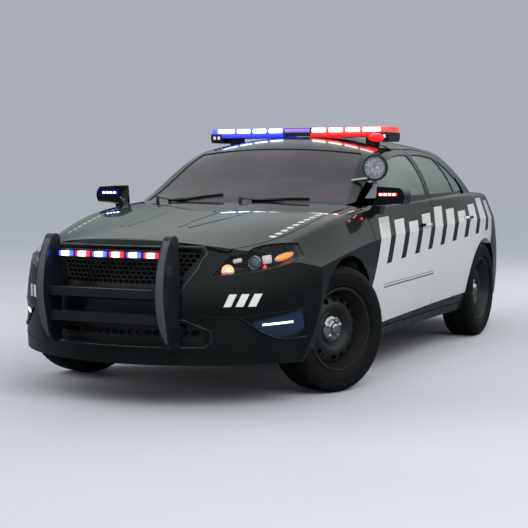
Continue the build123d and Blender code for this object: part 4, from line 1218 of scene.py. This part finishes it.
def make_finishes():
    """Every material, by a short name."""
    return {
        "paint": paint("black_paint"),
        "side_paint": paint("side_paint", on_side=True, trim_inside=True),
        "wing_paint": paint("wing_paint", on_side=True),
        "bumper_paint": paint("bumper_paint", corner_bars),
        "bonnet_paint": paint("bonnet_paint", bonnet_dashes),
        "gloss_black": paint("gloss_black"),
        "side_glass": glass("side_glass", (0.160, 0.195, 0.178), 0.76),
        "screen_glass": glass("screen_glass", (0.066, 0.050, 0.062), 0.80, 0.5),
        "plastic": moulded_plastic("dark_plastic", (0.020, 0.021, 0.023)),
        "cabin_trim": moulded_plastic("cabin_trim", (0.040, 0.040, 0.043), 0.62),
        "mesh": moulded_plastic("grille_mesh", (0.006, 0.0065, 0.0072), 0.45),
        "lamp_housing": moulded_plastic("lamp_housing", (0.010, 0.009, 0.012), 0.30),
        # painted highlight: a paler coat for the push bar's rounded edges, which in fact share the bar's dark
        # coat
        "push_edge": coated_steel("push_edge", (0.060, 0.068, 0.074), 0.30),
        "push_bar": coated_steel("push_bar_coat", (0.0065, 0.0095, 0.0125)),
        "wheel_steel": coated_steel("wheel_steel", (0.014, 0.014, 0.014), 0.38),
        "cast": bare_metal("cast_metal", (0.30, 0.30, 0.31), 0.50, 120.0, 0.35),
        "exhaust": bare_metal("exhaust_steel", (0.36, 0.33, 0.29), 0.42),
        "pale_trim": bare_metal("pale_trim", (0.55, 0.57, 0.57), 0.25, 300.0, 0.03),
        "satin_grey": bare_metal("satin_grey", (0.20, 0.20, 0.205), 0.32, 300.0, 0.05),
        "chrome": chrome("bright_chrome"),
        "rubber": rubber("tyre_rubber"),
        "underseal": underseal("underbody"),
        "cloth": woven_cloth("seat_cloth", (0.030, 0.031, 0.035)),
        "headlamp_lens": lamp_lens("headlamp_lens", (0.06, 0.06, 0.07), 0.06),
        "clear_lens": lamp_lens("clear_lens", (0.50, 0.52, 0.54), 0.30),
        "red_lens": lamp_lens("red_lens", (0.35, 0.008, 0.008), 0.92),
        "corner_lens": lamp_lens("corner_lens", (0.012, 0.020, 0.050), 0.96),
        "projector": lamp_lens("projector", (0.10, 0.13, 0.20), 1.0, 0.03),
        "hot_red": lit("hot_red", (1.0, 0.80, 0.74), 6.0),
        "hot_blue": lit("hot_blue", (0.82, 0.90, 1.0), 6.0),
        "red_skirt": lit("red_skirt", (1.0, 0.010, 0.015), 2.2),
        "blue_skirt": lit("blue_skirt", (0.020, 0.035, 1.0), 2.2),
        "violet": lit("violet", (0.35, 0.20, 0.85), 0.7),
        "pale_light": lit("pale_light", (0.75, 0.80, 0.95), 0.6),
        "white_light": lit("white_light", (0.95, 0.98, 1.0), 4.0),
        "warm_bulb": lit("warm_bulb", (1.0, 0.80, 0.50), 3.5),
        # painted highlights: the headlamp's bowl, pale reflectors and the amber lamp's rim glow though they
        # are no lamps
        "warm_reflector_highlight": lit("warm_reflector_highlight", (0.95, 0.50, 0.26), 0.60),
        "pale_reflector": lit("pale_reflector", (0.62, 0.50, 0.54), 0.50),
        "amber": lit("amber", (1.0, 0.30, 0.01), 1.1),
        "red_marker": lit("red_marker", (1.0, 0.04, 0.03), 1.6),
        "red_bar": glowing("red_bar", RED_GLOW, (1.0, 0.25, 0.22), 0.9),
        "blue_bar": glowing("blue_bar", BLUE_GLOW, (0.25, 0.35, 1.0), 0.9),
        "red_led": glowing("red_led", RED_GLOW, (1.0, 0.9, 0.9), 7.0, offset=0.0525, **PUSH_LAMP),
        "blue_led": glowing("blue_led", BLUE_GLOW, (0.9, 0.93, 1.0), 7.0, offset=-0.0525, **PUSH_LAMP),
    }


SLOTS = {                  # the record's slot, and the finishes of the pieces that go in it
    "black_paint": ("gloss_black", "side_paint"),
    "black_steel": ("wheel_steel",),
    "blue_lens": ("hot_blue", "blue_skirt"),
    "bright_chrome": ("chrome", "pale_reflector", "pale_trim", "satin_grey", "warm_reflector_highlight"),
    "clear_lens": ("amber", "clear_lens", "pale_light", "projector", "violet", "warm_bulb", "white_light"),
    "dark_plastic": ("cabin_trim", "plastic"),
    "push_bar_coat": ("push_edge",),
    "red_lens": ("hot_red", "red_marker", "red_skirt"),
    "seat_cloth": ("cloth",),
    "tyre_rubber": ("rubber",),
}
SLOT_OF = {finish: slot for slot, finishes in SLOTS.items() for finish in finishes}

NODE_FINISHES = {          # a finish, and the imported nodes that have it
    "side_paint": ("body_shell",),
    "wing_paint": ("front_wings",),
    "bumper_paint": ("front_bumper",),
    "bonnet_paint": ("bonnet",),
    "paint": ("boot_lid", "rear_bumper", "mirror_left", "mirror_right"),
    "screen_glass": ("fixed_glass",),
    "underseal": ("floor_pan", "wheel_wells", "front_frame", "fuel_tank"),
    "cast": ("front_suspension", "rear_suspension", "knuckle_left", "knuckle_right", "engine"),
    "exhaust": ("exhaust",),
    "cabin_trim": ("dashboard", "steering_wheel"),
    "cloth": ("seats",),
    "mesh": ("grilles",),
    "push_bar": ("push_bumper",),
    "blue_led": ("push_lamps_blue",),
    "red_led": ("push_lamps_red",),
    "lamp_housing": ("headlamps",),
    "headlamp_lens": ("headlamp_lenses",),
    "corner_lens": ("corner_lamps",),
    "red_lens": ("tail_lamps",),
    "plastic": ("lightbar_base", "wipers"),
    "blue_bar": ("lightbar_blue",),
    "red_bar": ("lightbar_red",),
    "chrome": ("spotlight",),
}


def dress_nodes():
    """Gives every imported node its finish."""
    finish_of = {node: finish for finish, nodes in NODE_FINISHES.items() for node in nodes}
    for name, node in NODES.items():
        finish = finish_of.get(name)
        if name.startswith("door_"):
            finish = "side_glass" if name.endswith("_glass") else "side_paint"
        if finish:
            node.data.materials.clear()
            node.data.materials.append(FINISHES[finish])


make_world()
make_floor()
make_lights()
make_camera()
scene = bpy.context.scene
scene.view_settings.view_transform = "Standard"
FINISHES = make_finishes()
dress_nodes()
wheels()
light_bar()
headlamps()
corner_strips()
pillar_spotlight()
mirror_lights()
door_handles()
grille_frames()
bumper_lines()
push_bar_edges()
bonnet_creases()
wipers()
seats()
